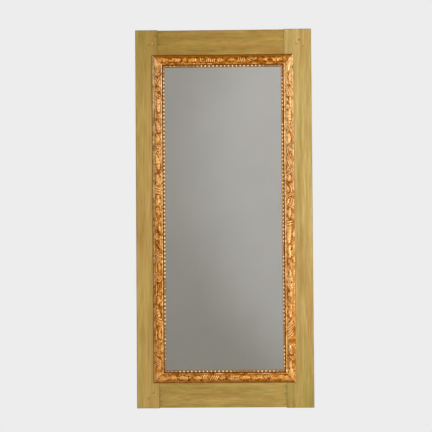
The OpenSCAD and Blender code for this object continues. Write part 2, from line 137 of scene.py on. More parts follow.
class MirrorGiltSettings(bpy.types.PropertyGroup):
    """Section, carving and gold of the moulding."""
    outer_band: length("Outer Band", "Width of the rounded band along the outer side", 6.0 * MM)
    outer_band_height: length("Outer Band Height", "Height of the band where it meets the roll", 7.5 * MM)
    band_edge: length("Band Edge", "Thickness of the band's outer edge", 2.0 * MM)
    inner_lip: length("Inner Lip", "Width of the inner lip", 4.2 * MM)
    inner_lip_height: length("Inner Lip Height", "Height of the inner lip over the boards", 10.5 * MM)
    quirk: length("Quirk", "Width of the sunk line beside the roll", 1.0 * MM)
    quirk_height: length("Quirk Height", "Height of the sunk line over the boards", 5.5 * MM)
    carving_depth: length("Carving Depth", "How deep the carver cut into the roll", 5.0 * MM)
    gold: colour("Gold", "Sound gold leaf", linear(236, 179, 98))
    old_gold: colour("Old Gold", "Gold leaf gone dull and orange", linear(210, 138, 40))
    # Bright gold also paints the highlight on the crests and on the tops of the beads
    burnished_and_lit_gold: colour("Bright Gold", "Burnished gold leaf", linear(255, 216, 148))
    # Gesso also paints the highlight on the beads that face the light, and light on rubbed slopes in shade
    gesso: colour("Gesso", "White ground on the beads, and leaf worn pale", linear(230, 214, 172))
    bole: colour("Bole", "Red clay where the leaf is rubbed through", linear(186, 112, 52))
    # Stain and dirt also paint the shade in the hollows
    stain: colour("Stain", "Brown stain in the shallow hollows", linear(166, 99, 14))
    dirt: colour("Dirt", "Old dirt in the deepest hollows", linear(94, 53, 3))


class MirrorBeadSettings(bpy.types.PropertyGroup):
    """The string of beads at the sight edge."""
    pitch: length("Pitch", "Distance from bead to bead", 15.4 * MM)
    diameter: length("Diameter", "Diameter of a bead", 7.6 * MM)
    inset: length("Inset", "From the middle of a bead to the sight edge", 4.0 * MM)
    strip: length("Strip", "Thickness of the strip under the beads", 3.0 * MM)
    rise: length("Rise", "Height of a bead's centre over the boards", 2.8 * MM)
    seed: seed_number("Seed of the beads' small differences", 4)


class MirrorPlateSettings(bpy.types.PropertyGroup):
    """The glass and its silvering."""
    arris: length("Arris", "Width of the ground edge of the glass", 0.6 * MM)
    silver: colour("Silver", "Colour of the old silvering", (0.80, 0.79, 0.77, 1.0))
    tint: colour("Tint", "Colour of the old glass", (0.97, 0.975, 0.965, 1.0))


class MirrorBackSettings(bpy.types.PropertyGroup):
    """The planks, screws and hangers of the back."""
    strap_thickness: length("Strap Thickness", "Thickness of the hanger straps", 1.0 * MM)
    eye_gap: length("Eye Gap", "Room between a ring's bar and the eye that holds it", 0.08 * MM)
    ring_bend: length("Ring Bend", "Radius of the ring's upper bends", 3.2 * MM)
    slot_width: length("Slot Width", "Width of the slot of a screw", 0.9 * MM)
    slot_depth: length("Slot Depth", "Depth of the slot of a screw", 0.8 * MM)
    thread: length("Thread", "Distance from thread to thread", 1.6 * MM)
    seed: seed_number("Seed of the turn of each screw", 9)
    wood: colour("Old Wood", "Colour of the bare aged wood", linear(158, 122, 82))
    dark_wood: colour("Dark Grain", "Colour of the late wood and knots", linear(104, 72, 42))


class MirrorStageSettings(bpy.types.PropertyGroup):
    """Camera, floor and backdrop."""
    distance: length("Distance", "Camera to the middle of the mirror", 4.5)
    below: angle("Below", "Angle of the camera below the middle", 1.44)
    right: angle("Right", "Angle of the camera to the right of the middle", 1.0)
    roll: angle("Roll", "Tilt of the picture", -0.405)
    lens: bpy.props.FloatProperty(name="Lens", description="Focal length in millimetres", default=94.1)
    aim_x: length("Aim Across", "Where the camera points, across the mirror", -0.0334)
    aim_z: length("Aim Up", "Where the camera points, up the mirror", 0.0087)
    floor_drop: length("Floor Drop", "Gap between the mirror and the floor", 0.5)
    backdrop: colour("Backdrop", "Colour behind the mirror", linear(237, 237, 237))


SETTINGS = {
    "mirror_boards": MirrorBoardSettings,
    "mirror_gilt": MirrorGiltSettings,
    "mirror_beads": MirrorBeadSettings,
    "mirror_plate": MirrorPlateSettings,
    "mirror_back": MirrorBackSettings,
    "mirror_stage": MirrorStageSettings,
}


# Noise and mesh helpers

# Cells of the noise before it repeats, and where in them it starts
LATTICE = (97, 89)
LATTICE_START = (31.7, 17.3)


def soft_noise(x, y, cell, seed):
    """Smooth noise from -1 to 1 over a lattice of cells, the same on every run."""
    lattice = np.random.default_rng(seed).uniform(-1, 1, LATTICE)
    u, v = (np.asarray(at) / size + start for at, size, start in zip((x, y), cell, LATTICE_START))
    u, v = np.broadcast_arrays(u, v)
    i, j = np.floor(u).astype(int), np.floor(v).astype(int)
    a, b = u - i, v - j
    a, b = a * a * (3 - 2 * a), b * b * (3 - 2 * b)

    def corner(di, dj):
        return lattice[(i + di) % LATTICE[0], (j + dj) % LATTICE[1]]
    near = corner(0, 0) * (1 - a) + corner(1, 0) * a
    far = corner(0, 1) * (1 - a) + corner(1, 1) * a
    return near * (1 - b) + far * b


def added(name, mesh):
    """An object of the scene for a finished mesh."""
    piece = bpy.data.objects.new(name, mesh)
    bpy.context.scene.collection.objects.link(piece)
    return piece


def new_piece(name, points, faces, materials, smooth=True):
    """A mesh object from points in the frame, in metres."""
    mesh = bpy.data.meshes.new(name)
    mesh.from_pydata([tuple(p) for p in points], [], [tuple(f) for f in faces])
    mesh.update()
    if smooth:
        mesh.shade_smooth()
    for material in materials:
        mesh.materials.append(material)
    return added(name, mesh)


def set_attributes(piece, **attributes):
    """Named values on a piece's points, one number each or the same number for all."""
    for name, values in attributes.items():
        attribute = piece.data.attributes.new(name, "FLOAT", "POINT")
        full = np.empty(len(piece.data.vertices), np.float32)
        full[:] = np.ravel(values)
        attribute.data.foreach_set("value", full)


def settle(piece, slot, *nodes, body=FRAME_BODY):
    """Gives a finished piece its body and hides the solids that it stands for. The slot is not used."""
    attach(piece, body)
    if nodes:
        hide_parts(*nodes)


def coat(node, material):
    """Gives a solid of the frame its finish and leaves its shape alone."""
    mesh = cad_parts[node].data
    mesh.materials.clear()
    mesh.materials.append(material)


def box_shell(lines):
    """Points and faces of a box whose six sides are cut by the given grid lines along x, y and z."""
    points, faces = [], []
    for axis in range(3):
        u, v = (axis + 1) % 3, (axis + 2) % 3
        grid_u, grid_v = np.meshgrid(lines[u], lines[v], indexing="ij")
        for end in (0, -1):
            side = np.empty(grid_u.shape + (3,))
            side[..., axis], side[..., u], side[..., v] = lines[axis][end], grid_u, grid_v
            start = sum(len(p) for p in points)
            index = start + np.arange(grid_u.size).reshape(grid_u.shape)
            quad = np.stack([index[:-1, :-1], index[1:, :-1], index[1:, 1:], index[:-1, 1:]], -1)
            faces.append((quad if end else quad[..., ::-1]).reshape(-1, 4))
            points.append(side.reshape(-1, 3))
    points, faces = np.concatenate(points), np.concatenate(faces)
    key = np.round(points * 1e6).astype(np.int64)
    _, first, back = np.unique(key, axis=0, return_index=True, return_inverse=True)
    return points[first], back.reshape(-1)[faces]


# Where the grid lines near a side stand, as shares of the edge's width, and their least distance
EDGE_STEPS = (0, 0.25, 0.55, 1.0, 1.8, 3.2)
LEAST_STEP = 0.2
FINE_STEP = 0.0025


def grid_line(start, end, coarse, edge, fine_spans=(), fine=FINE_STEP):
    """Grid positions from start to end, close together at both ends and inside the fine spans."""
    marks = [start + edge * k for k in EDGE_STEPS] + [end - edge * k for k in EDGE_STEPS]
    marks += list(np.linspace(start, end, max(2, int((end - start) / coarse) + 1)))
    for a, b in fine_spans:
        marks += list(np.arange(max(a, start), min(b, end), fine))
    marks = np.unique(np.round([m for m in marks if start <= m <= end], 6))
    keep = [marks[0]]
    for mark in marks[1:-1]:
        if mark - keep[-1] > edge * LEAST_STEP:
            keep.append(mark)
    return np.array(keep + [marks[-1]])


def round_edges(points, bounds, axes, radius):
    """Rolls the edges between two of the box's directions to a radius, which may vary by point."""
    out = points.copy()
    offset = []
    for axis in axes:
        lo, hi = bounds[0][axis], bounds[1][axis]
        inner = np.clip(points[:, axis], lo + radius, hi - radius)
        offset.append((inner, points[:, axis] - inner))
    reach = np.hypot(offset[0][1], offset[1][1])
    turn = (np.abs(offset[0][1]) > 1e-7) & (np.abs(offset[1][1]) > 1e-7)
    scale = np.where(turn, radius / np.maximum(reach, 1e-9), 1.0)
    for axis, (inner, away) in zip(axes, offset):
        out[:, axis] = np.where(turn, inner + away * scale, points[:, axis])
    return out


def tube_faces(index):
    """Faces of a tube from its point numbers, along by round."""
    after = np.roll(index, -1, axis=1)
    return [tuple(q) for q in np.stack([index[:-1], index[1:], after[1:], after[:-1]], -1).reshape(-1, 4)]


# Node helpers

class Tree:
    """A short way to write a node tree: add nodes and join sockets by name, or by i and a number."""

    def __init__(self, tree):
        self.tree = tree

    def add(self, kind, operation=None, **inputs):
        node = self.tree.nodes.new(kind)
        if operation:
            node.operation = operation
        for key, value in inputs.items():
            self.put(node, key, value)
        return node

    def put(self, node, key, value):
        numbered = key[0] == "i" and key[1:].isdigit()
        socket = node.inputs[int(key[1:]) if numbered else key.replace("_", " ")]
        if isinstance(value, bpy.types.NodeSocket):
            self.tree.links.new(value, socket)
        else:
            socket.default_value = value

    def fill(self, node, *values):
        """Puts values in a node's sockets in their order."""
        for index, value in enumerate(values):
            self.put(node, f"i{index}", value)

    def math(self, operation, first, second=0.0, third=0.0, clamp=False):
        node = self.add("ShaderNodeMath", operation, i0=first, i1=second, i2=third)
        node.use_clamp = clamp
        return node.outputs[0]

    def plus(self, first, second):
        return self.math("ADD", first, second)

    def times(self, first, second):
        return self.math("MULTIPLY", first, second)

    def most(self, first, second):
        return self.math("MAXIMUM", first, second)

    def vector(self, operation, first, second):
        return self.add("ShaderNodeVectorMath", operation, i0=first, i1=second).outputs[0]

    def mix(self, factor, first, second, blend="MIX"):
        node = self.tree.nodes.new("ShaderNodeMix")
        node.data_type = "RGBA"
        node.blend_type = blend
        for index, value in ((0, factor), (6, first), (7, second)):
            self.put(node, f"i{index}", value)
        return node.outputs[2]

    def spread(self, value, start, end, to_start=0.0, to_end=1.0, smooth=False):
        """Maps a value's range onto another, held at both ends."""
        node = self.tree.nodes.new("ShaderNodeMapRange")
        if smooth:
            node.interpolation_type = "SMOOTHSTEP"
        self.fill(node, value, start, end, to_start, to_end)
        return node.outputs[0]

    def noise(self, vector, scale, detail=4.0, roughness=0.55):
        return self.add("ShaderNodeTexNoise", Vector=vector, Scale=scale, Detail=detail,
                        Roughness=roughness).outputs["Fac"]

    def colour(self, red, green, blue):
        return self.add("ShaderNodeCombineColor", i0=red, i1=green, i2=blue).outputs[0]

    def split(self, vector):
        return self.add("ShaderNodeSeparateXYZ", Vector=vector).outputs

    def attribute(self, name):
        node = self.tree.nodes.new("ShaderNodeAttribute")
        node.attribute_name = name
        return node.outputs["Fac"]


def new_group(name, inputs, outputs):
    """A shader node group with named sockets. Returns it, its tree writer and its two end nodes."""
    group = bpy.data.node_groups.new(name, "ShaderNodeTree")
    for label, kind, default in inputs:
        socket = group.interface.new_socket(name=label, in_out="INPUT", socket_type=kind)
        if default is not None:
            socket.default_value = default
    for label in outputs:
        group.interface.new_socket(name=label, in_out="OUTPUT", socket_type="NodeSocketFloat")
    tree = Tree(group)
    return group, tree, tree.add("NodeGroupInput"), tree.add("NodeGroupOutput")


# How far streaks that are long along the piece are shortened into dashes, by axis
DASH_STRETCH = (0.12, 0.12, 0.06)


def long_streaks_group(name):
    """Streaks that run along one direction of the piece: fine, broad, short dashes and clouds."""
    group, tree, start, end = new_group(
        name,
        [("Vector", "NodeSocketVector", None), ("Stretch", "NodeSocketVector", (1, 1, 1)),
         ("Shift", "NodeSocketVector", (0, 0, 0))],
        ["Fine", "Broad", "Dashes", "Cloud"])
    moved = tree.vector("ADD", start.outputs["Vector"], start.outputs["Shift"])
    along = tree.vector("MULTIPLY", moved, start.outputs["Stretch"])
    shorter = tree.vector("ADD", along, tree.vector("MULTIPLY", moved, DASH_STRETCH))
    tree.fill(end, tree.noise(along, 300.0, 6.0, 0.7), tree.noise(along, 62.0, 4.0, 0.5),
              tree.noise(shorter, 130.0, 5.0, 0.62), tree.noise(shorter, 26.0, 4.0, 0.6))
    return group


def speckle_group(name):
    """Small worn flecks, larger worn patches, fine grain and stains."""
    group, tree, start, end = new_group(
        name,
        [("Vector", "NodeSocketVector", None), ("Scale", "NodeSocketFloat", 1.0)],
        ["Flecks", "Patches", "Grain", "Stains"])
    scaled = tree.add("ShaderNodeVectorMath", "SCALE", i0=start.outputs["Vector"],
                      Scale=start.outputs["Scale"])
    vector = scaled.outputs[0]
    tree.fill(end, tree.spread(tree.noise(vector, 420.0, 3.0, 0.6), 0.5, 0.68),
              tree.spread(tree.noise(vector, 34.0, 4.0, 0.6), 0.42, 0.66),
              tree.noise(vector, 1500.0, 2.0, 0.5), tree.noise(vector, 58.0, 3.0, 0.55))
    return group


GROUP_MAKERS = {"Long Streaks": long_streaks_group, "Speckle": speckle_group}
GROUPS = {}


def use_group(tree, name, **inputs):
    """Places a node group, made once, and returns its outputs."""
    if name not in GROUPS:
        GROUPS[name] = GROUP_MAKERS[name](name)
    node = tree.tree.nodes.new("ShaderNodeGroup")
    node.node_tree = GROUPS[name]
    for key, value in inputs.items():
        tree.put(node, key, value)
    return node.outputs


def new_material(name):
    """A material with its shader ready. Returns it, its tree writer, the shader and object coordinates."""
    material = bpy.data.materials.new(name)
    material.use_nodes = True
    tree = Tree(material.node_tree)
    shader = material.node_tree.nodes["Principled BSDF"]
    return material, tree, shader, tree.add("ShaderNodeTexCoord").outputs["Object"]


def bump(tree, shader, height, strength, distance):
    node = tree.add("ShaderNodeBump", Height=height, Strength=strength, Distance=distance)
    tree.put(shader, "Normal", node.outputs[0])


# Materials

# Streaks are drawn long by shrinking the place along a piece, by whether it lies along X. Then the tint
# of the painted shade where less light falls on a board, how thin the bare wood at a board's back is, and
# how far the dirt and painted contact shadow reach out from the moulding's outer edge
PAINT_STRETCH = {True: (0.045, 1.0, 1.0), False: (1.0, 1.0, 0.018)}
WOOD_STRETCH = {True: (0.04, 1.0, 1.0), False: (1.0, 1.0, 0.04)}
PAINTED_FALLOFF_TINT = (0.78, 0.77, 0.5, 1.0)
BARE_DEPTH = 0.4 * MM
DIRT_AND_SHADOW_REACH = (0.5 * MM, 5.0 * MM)


def paint_material(name, along_x, shift, tone, lift):
    """Old ochre and green paint brushed along a board, with bare wood on its back. tone darkens it in red,
    green and blue, and lift is its share of pale streaks; both also paint the sheen and shade that the side
    light gives each board."""
    look = bpy.context.scene.mirror_boards
    back = bpy.context.scene.mirror_back
    material, tree, shader, place = new_material(name)
    streaks = use_group(tree, "Long Streaks", Vector=place, Stretch=PAINT_STRETCH[along_x], Shift=shift)
    fine, broad, dashes, cloud = (streaks[label] for label in ("Fine", "Broad", "Dashes", "Cloud"))
    worn = use_group(tree, "Speckle", Vector=place, Scale=0.6)
    ochre, olive, brown = (tuple(a * b for a, b in zip(paint, tone)) + (1.0,)
                           for paint in (look.ochre, look.olive, look.brown))
    paint = tree.mix(tree.spread(broad, 0.42, 0.62), ochre, olive)
    paint = tree.mix(tree.spread(cloud, 0.45, 0.7), paint, brown)
    paint = tree.mix(tree.spread(dashes, 0.5, 0.7, 0.0, 0.15 + 0.5 * lift), paint, look.pale)
    shade = tree.times(tree.spread(fine, 0.3, 0.6, 0.86, 1.03), tree.spread(dashes, 0.34, 0.48, 0.8, 1.0))
    paint = tree.mix(1.0, paint, tree.colour(shade, shade, shade), "MULTIPLY")
    # Painted shade: the paint darker and yellower where less light falls on the board
    paint = tree.mix(tree.attribute("dusk"), paint, tree.mix(1.0, paint, PAINTED_FALLOFF_TINT, "MULTIPLY"))
    paint = tree.mix(tree.times(worn["Flecks"], 0.1), paint, look.pale)
    edges = tree.times(tree.attribute("edge"), tree.spread(cloud, 0.3, 0.6, 0.6, 1.0))
    smudge = tree.times(tree.attribute("smudge"), tree.spread(dashes, 0.42, 0.58, 1.0, 0.0))
    # Dirt along edges, joints and dents, and painted contact shadow along the moulding, all in the grime
    # colour
    dirt = tree.most(tree.most(edges, smudge), moulding_dirt_and_shadow(tree, place))
    paint = tree.mix(tree.most(dirt, tree.attribute("dent")), paint, look.grime_and_shade)
    bare = tree.math("GREATER_THAN", tree.split(place)[1], BOARD_BACK - BARE_DEPTH)
    wood = tree.mix(broad, back.wood, back.dark_wood)
    tree.put(shader, "Base Color", tree.mix(bare, paint, wood))
    rough = tree.spread(broad, 0.35, 0.7, 0.5, 0.66)
    tree.put(shader, "Roughness", tree.most(rough, tree.times(bare, 0.85)))
    shader.inputs["Specular IOR Level"].default_value = 0.35
    bump(tree, shader, tree.plus(fine, tree.times(worn["Grain"], 0.2)), 0.35, 0.35 * MM)
    return material


def moulding_dirt_and_shadow(tree, place):
    """Mask of the dirt and painted contact shadow on the boards along the outer edge of the moulding."""
    point = tree.split(place)
    reach = []
    for value, first, last in ((point[0], *MOULDING_OUT[:2]), (point[2], *MOULDING_OUT[2:])):
        offset = tree.math("ABSOLUTE", tree.math("SUBTRACT", value, (first + last) / 2))
        reach.append(tree.math("SUBTRACT", offset, (last - first) / 2))
    return tree.spread(tree.most(*reach), *DIRT_AND_SHADOW_REACH, 0.5, 0.0)


def gilt_material(name):
    """Worn gold leaf: burnished on the crests, red clay and white ground where it is rubbed, and stain and
    dirt in the hollows, which also paint the shade in them."""
    look = bpy.context.scene.mirror_gilt
    material, tree, shader, place = new_material(name)
    worn = use_group(tree, "Speckle", Vector=place, Scale=1.0)
    flecks, stains = worn["Flecks"], worn["Stains"]
    hollow, crest, age, gesso = (tree.attribute(label) for label in ("hollow", "crest", "age", "gesso"))
    leaf_tone = tree.mix(age, look.gold, look.old_gold)
    # Bright gold on the crests: burnish together with painted highlight
    leaf_tone = tree.mix(tree.spread(crest, 0.05, 0.85, 0.0, 0.75), leaf_tone, look.burnished_and_lit_gold)
    rubbed = tree.times(worn["Patches"], tree.spread(flecks, 0.0, 0.6, 0.5, 1.0))
    clay = tree.times(rubbed, tree.spread(age, 0.0, 1.0, 0.45, 0.8))
    # Stain and dirt follow the darkness given to the hollows, so besides old dirt they paint the shade in
    # them
    stained_and_shaded = tree.times(tree.spread(hollow, 0.02, 0.42), tree.spread(stains, 0.3, 0.7, 0.7, 1.3))
    stained_and_shaded = tree.math("MULTIPLY_ADD", tree.spread(stains, 0.5, 0.75), 0.2, stained_and_shaded, clamp=True)
    dirt = tree.math("MULTIPLY_ADD", flecks, 0.06, tree.spread(hollow, 0.42, 1.1, 0.0, 0.9), clamp=True)
    tone = tree.mix(stained_and_shaded, tree.mix(clay, leaf_tone, look.bole), look.stain)
    tone = tree.mix(dirt, tree.mix(gesso, tone, look.gesso), look.dirt)
    tree.put(shader, "Base Color", tone)
    cover = tree.times(*(tree.math("SUBTRACT", 1.0, lost) for lost in (rubbed, stained_and_shaded)))
    cover = tree.times(cover, tree.math("SUBTRACT", 1.0, gesso))
    tree.put(shader, "Metallic", tree.spread(cover, 0.0, 1.0, 0.08, 0.56))
    tree.put(shader, "Roughness", tree.spread(cover, 0.0, 1.0, 0.66, 0.36))
    shader.inputs["Specular IOR Level"].default_value = 0.04
    bump(tree, shader, tree.plus(worn["Grain"], tree.times(flecks, -0.8)), 0.3, 0.25 * MM)
    return material


def wood_material(name, along_x, dark):
    """Bare aged softwood with grain and dark patches. dark is the strength of the patches."""
    look = bpy.context.scene.mirror_back
    material, tree, shader, place = new_material(name)
    grain = use_group(tree, "Long Streaks", Vector=place, Stretch=WOOD_STRETCH[along_x])
    worn = use_group(tree, "Speckle", Vector=place, Scale=0.5)
    rings = tree.math("FRACT", tree.plus(tree.times(grain["Broad"], 5.0), tree.times(grain["Fine"], 0.8)))
    late = tree.spread(rings, 0.55, 0.95)
    tone = tree.mix(tree.times(late, 0.55), look.wood, look.dark_wood)
    tone = tree.mix(tree.times(worn["Patches"], dark), tone, look.dark_wood)
    tree.put(shader, "Base Color", tone)
    tree.put(shader, "Roughness", tree.spread(grain["Fine"], 0.3, 0.7, 0.7, 0.9))
    shader.inputs["Specular IOR Level"].default_value = 0.25
    bump(tree, shader, tree.plus(grain["Fine"], tree.times(late, 0.4)), 0.5, 0.4 * MM)
    return material


def metal_material(name, clean, tarnish, shine):
    """Dulled brass or oxidised steel with tarnish in patches. shine is its roughness where clean."""
    material, tree, shader, place = new_material(name)
    worn = use_group(tree, "Speckle", Vector=place, Scale=3.0)
    mask = tree.most(worn["Patches"], tree.times(worn["Flecks"], 0.6))
    tree.put(shader, "Base Color", tree.mix(mask, clean, tarnish))
    shader.inputs["Metallic"].default_value = 1.0
    tree.put(shader, "Roughness", tree.spread(mask, 0.0, 1.0, shine, shine + 0.3))
    bump(tree, shader, worn["Grain"], 0.15, 0.1 * MM)
    return material


def glass_material(name):
    """Clear old plate glass."""
    look = bpy.context.scene.mirror_plate
    material, tree, shader, place = new_material(name)
    shader.inputs["Base Color"].default_value = look.tint
    shader.inputs["Transmission Weight"].default_value = 1.0
    shader.inputs["IOR"].default_value = 1.5
    tree.put(shader, "Roughness", tree.spread(tree.noise(place, 6.0), 0.3, 0.7, 0.0, 0.012))
    return material


def silver_material(name):
    """Old silvering, a little hazier in places."""
    look = bpy.context.scene.mirror_plate
    material, tree, shader, place = new_material(name)
    haze = tree.noise(place, 3.5, 5.0, 0.6)
    dull = tuple(v * 0.94 for v in look.silver[:3]) + (1.0,)
    tree.put(shader, "Base Color", tree.mix(tree.spread(haze, 0.4, 0.7), look.silver, dull))
    shader.inputs["Metallic"].default_value = 1.0
    tree.put(shader, "Roughness", tree.spread(haze, 0.3, 0.7, 0.015, 0.04))
    return material


MATERIALS = {}


def finish(name, maker, *values):
    """The material of that name, made once."""
    if name not in MATERIALS:
        MATERIALS[name] = maker(name, *values)
    return MATERIALS[name]


def gilding():
    return finish("worn_gilding", gilt_material)


def brass():
    return finish("dulled_brass", metal_material, linear(176, 142, 78), linear(98, 74, 38), 0.32)


def steel():
    return finish("oxidised_steel", metal_material, linear(120, 114, 106), linear(70, 56, 46), 0.42)


# Boards

# Dents and lost pegs seen near the corners: x, z, radius and depth in millimetres
DENTS = [
    (-267, 724, 4, 0.9), (-277, 697, 4, 0.8), (-297, 690, 3, 0.7), (301, 706, 4.5, 0.9),
    (290, 694, 3.5, 0.8), (317, 681, 3.5, 0.7), (-259, -696, 4, 0.9), (-304, -712, 3, 0.8),
    (-284, -692, 2.6, 0.6),
]

# How dark the paint of each board is, in red, green and blue, and its share of pale streaks. Beside the
# paint's own differences, these paint the sheen and shade that the side light gives each board: the rails
# darker, the right stile paler
BOARD_TONE_AND_SHEEN = {
    "left_stile": ((1.0, 0.97, 0.93), 0.25), "right_stile": ((0.98, 1.01, 1.08), 0.6),
    "top_rail": ((0.84, 0.74, 0.46), 0.0), "bottom_rail": ((0.85, 0.83, 0.62), 0.1),
    "corner_pegs": ((1.0, 1.0, 1.0), 0.1),
}

# Seeds of the wear of each board, and how far they and the pegs shift the streaks
BOARD_SEED = {"left_stile": 11, "right_stile": 23, "top_rail": 37, "bottom_rail": 41}
STREAK_SHIFT = (0.37, 0.11, 0.53)
PEG_SHIFT = (0.2, 0.7, 0.4)

# Painted shade where less light falls on a board: where its paint is darker and yellower, from nothing to
# the most, in millimetres along it
PAINTED_FALLOFF = {
    "left_stile": (430, 680, 0.75), "right_stile": (-340, -720, 1.0),
    "top_rail": (0, -260, 0.9), "bottom_rail": (-100, -300, 0.2),
}

# Grid of the boards, in metres: its steps along and across the grain and through the thickness, the
# width of its edges, and the spans across the mirror and from a stile's ends, where the dents and pegs
# are, with the finer step of the first
ALONG_STEP = 0.012
ACROSS_STEP = 0.006
THICKNESS_STEP = 0.008
GRID_EDGE = 3.0 * MM
FINE_SPANS_X = [(-0.33, -0.25), (0.25, 0.33)]
FINE_END = 0.1
FINE_STEP_X = 0.002

# Wear of the boards: the rounding of the back edges, the least rounding and that of a stile's ends as
# a share of its outer edge's, how much longer than wide and how ragged dents are, and how far dirt
# reaches from an edge, from a joint, and along a joint from the moulding
BACK_ARRIS = 1.2 * MM
LEAST_ARRIS = 0.3 * MM
END_ARRIS = 0.6
DENT_SQUASH = 0.8
DENT_ROUGHNESS = (0.0035, 0.0035)
DENT_SEED = 7
OUTER_DIRT_WIDTH = 3.0 * MM
JOINT_DIRT_WIDTH = 1.8 * MM
SMUDGE_ACROSS = 0.014
SMUDGE_ALONG = 0.02


def board_shell(lo, hi, along_x):
    """Points and faces of a board's box, before it is worn."""
    ends = [] if along_x else [(hi.z - FINE_END, hi.z), (lo.z, lo.z + FINE_END)]
    step_x, step_z = (ALONG_STEP, ACROSS_STEP) if along_x else (ACROSS_STEP, ALONG_STEP)
    return box_shell([grid_line(lo.x, hi.x, step_x, GRID_EDGE, FINE_SPANS_X, FINE_STEP_X),
                      grid_line(lo.y, hi.y, THICKNESS_STEP, GRID_EDGE),
                      grid_line(lo.z, hi.z, step_z, GRID_EDGE, ends)])


def dents(flat, front):
    """How deep the dents are at each point of a board, in metres, and how dirty they are."""
    deep, dirty = np.zeros(len(flat)), np.zeros(len(flat))
    rough = 1 + 0.6 * soft_noise(flat[:, 0], flat[:, 2], DENT_ROUGHNESS, DENT_SEED)
    for x, z, radius, depth in DENTS:
        away = np.hypot(flat[:, 0] - x * MM, (flat[:, 2] - z * MM) * DENT_SQUASH)
        away = rough * away / (radius * MM)
        deep += depth * MM * np.exp(-away ** 2) * front
        dirty = np.maximum(dirty, np.exp(-(away * 0.8) ** 2) * front)
    return deep, dirty


def board(name, arris):
    """One board with worn edges, hand planed faces, dents and its own streaks. arris is by side:
    low across, high across, low end, high end."""
    look = bpy.context.scene.mirror_boards
    along_x, seed = name.endswith("_rail"), BOARD_SEED[name]
    lo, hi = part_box(name)
    if along_x:
        lo, hi = (Vector((x, at.y, at.z)) for x, at in zip(JOINT_X, (lo, hi)))
    points, faces = board_shell(lo, hi, along_x)
    flat = points.copy()
    across, along = (2, 0) if along_x else (0, 2)
    wear = soft_noise(points[:, along], points[:, across], (0.05, 0.5), seed)
    front = points[:, 1] < (lo.y + hi.y) / 2
    reach = np.full(len(points), 1.0)
    for axis, radii in ((across, arris[:2]), (along, arris[2:])):
        middle = (lo[axis] + hi[axis]) / 2
        radius = np.where(points[:, axis] < middle, *radii) * (1 + 0.35 * wear)
        radius = np.where(front, radius, np.minimum(radius, BACK_ARRIS))
        points = round_edges(points, (lo, hi), (axis, 1), np.maximum(radius, LEAST_ARRIS))
        for side, rounding in zip((lo[axis], hi[axis]), radii):
            width = OUTER_DIRT_WIDTH if rounding > MM else JOINT_DIRT_WIDTH
            reach = np.minimum(reach, np.abs(flat[:, axis] - side) / width)
    dip = np.abs(look.unevenness * soft_noise(flat[:, along], flat[:, across], (0.09, 0.018), seed + 3))
    deep, dirty = dents(flat, front)
    points[:, 1] += np.where(front, dip * 0.8, -dip * 0.8) + deep
    joint = np.minimum(*(np.abs(flat[:, 0] - x) for x in JOINT_X))
    rail = np.maximum(0, MOULDING_OUT[3] - np.abs(flat[:, 2]))
    start, end, most = PAINTED_FALLOFF[name]
    paint = finish(name + "_paint", paint_material, along_x, [seed * k for k in STREAK_SHIFT],
                   *BOARD_TONE_AND_SHEEN[name])
    piece = new_piece(name + "_painted", points, faces, [paint])
    # edge, smudge and dent are dirt; the last value paints the shade where less light falls along the board
    set_attributes(piece, edge=0.72 * np.exp(-reach ** 2),
                   smudge=0.5 * np.exp(-(joint / SMUDGE_ACROSS) ** 2) * np.exp(-(rail / SMUDGE_ALONG) ** 2),
                   dent=0.75 * dirty,
                   dusk=most * np.clip((flat[:, along] / MM - start) / (end - start), 0, 1))
    settle(piece, "painted_wood", name)


class MIRROR_OT_boards(bpy.types.Operator):
    """Make the painted stiles and rails with their pegs"""
    bl_idname = "mirror.boards"
    bl_label = "Painted Boards"

    def execute(self, context):
        look = context.scene.mirror_boards
        outer, joint = look.outer_arris, look.joint_arris
        end = outer * END_ARRIS
        board("left_stile", (outer, joint, end, end))
        board("right_stile", (joint, outer, end, end))
        board("top_rail", (joint, outer, joint, joint))
        board("bottom_rail", (outer, joint, joint, joint))
        coat("corner_pegs", finish("peg_paint", paint_material, True, PEG_SHIFT, *BOARD_TONE_AND_SHEEN["corner_pegs"]))
        return {"FINISHED"}


# Carving

# Step of the carving's grid, width of the moulding, and the heights of its crests and its ground over
# the deepest cuts, in millimetres
STEP = 0.5
WIDTH = (MOULDING_OUT[3] - MOULDING_IN[3]) / MM
TOP = 5.0
GROUND = 3.0
# The carver's pattern is drawn on a roll 28 mm wide whose middle is 20 mm in
PATTERN_MIDDLE, PATTERN_HALF = 20.0, 14.0


def curve(start, bend, end, count=10):
    """Points of a curve from start to end that leans towards bend."""
    k = np.linspace(0, 1, count)[:, None]
    start, bend, end = (np.array(p, float) for p in (start, bend, end))
    return start * (1 - k) ** 2 + 2 * bend * k * (1 - k) + end * k ** 2


def arc_line(s, t, radius, first, last, count=18):
    """Points along an arc. Angles are in degrees."""
    turn = np.radians(first + (last - first) * np.linspace(0, 1, count))
    return np.stack([s + radius * np.cos(turn), t + radius * np.sin(turn)], 1)


def rim_point(s, t, radius, degrees):
    """The point of a circle at an angle."""
    return arc_line(s, t, radius, degrees, degrees, 1)[0]


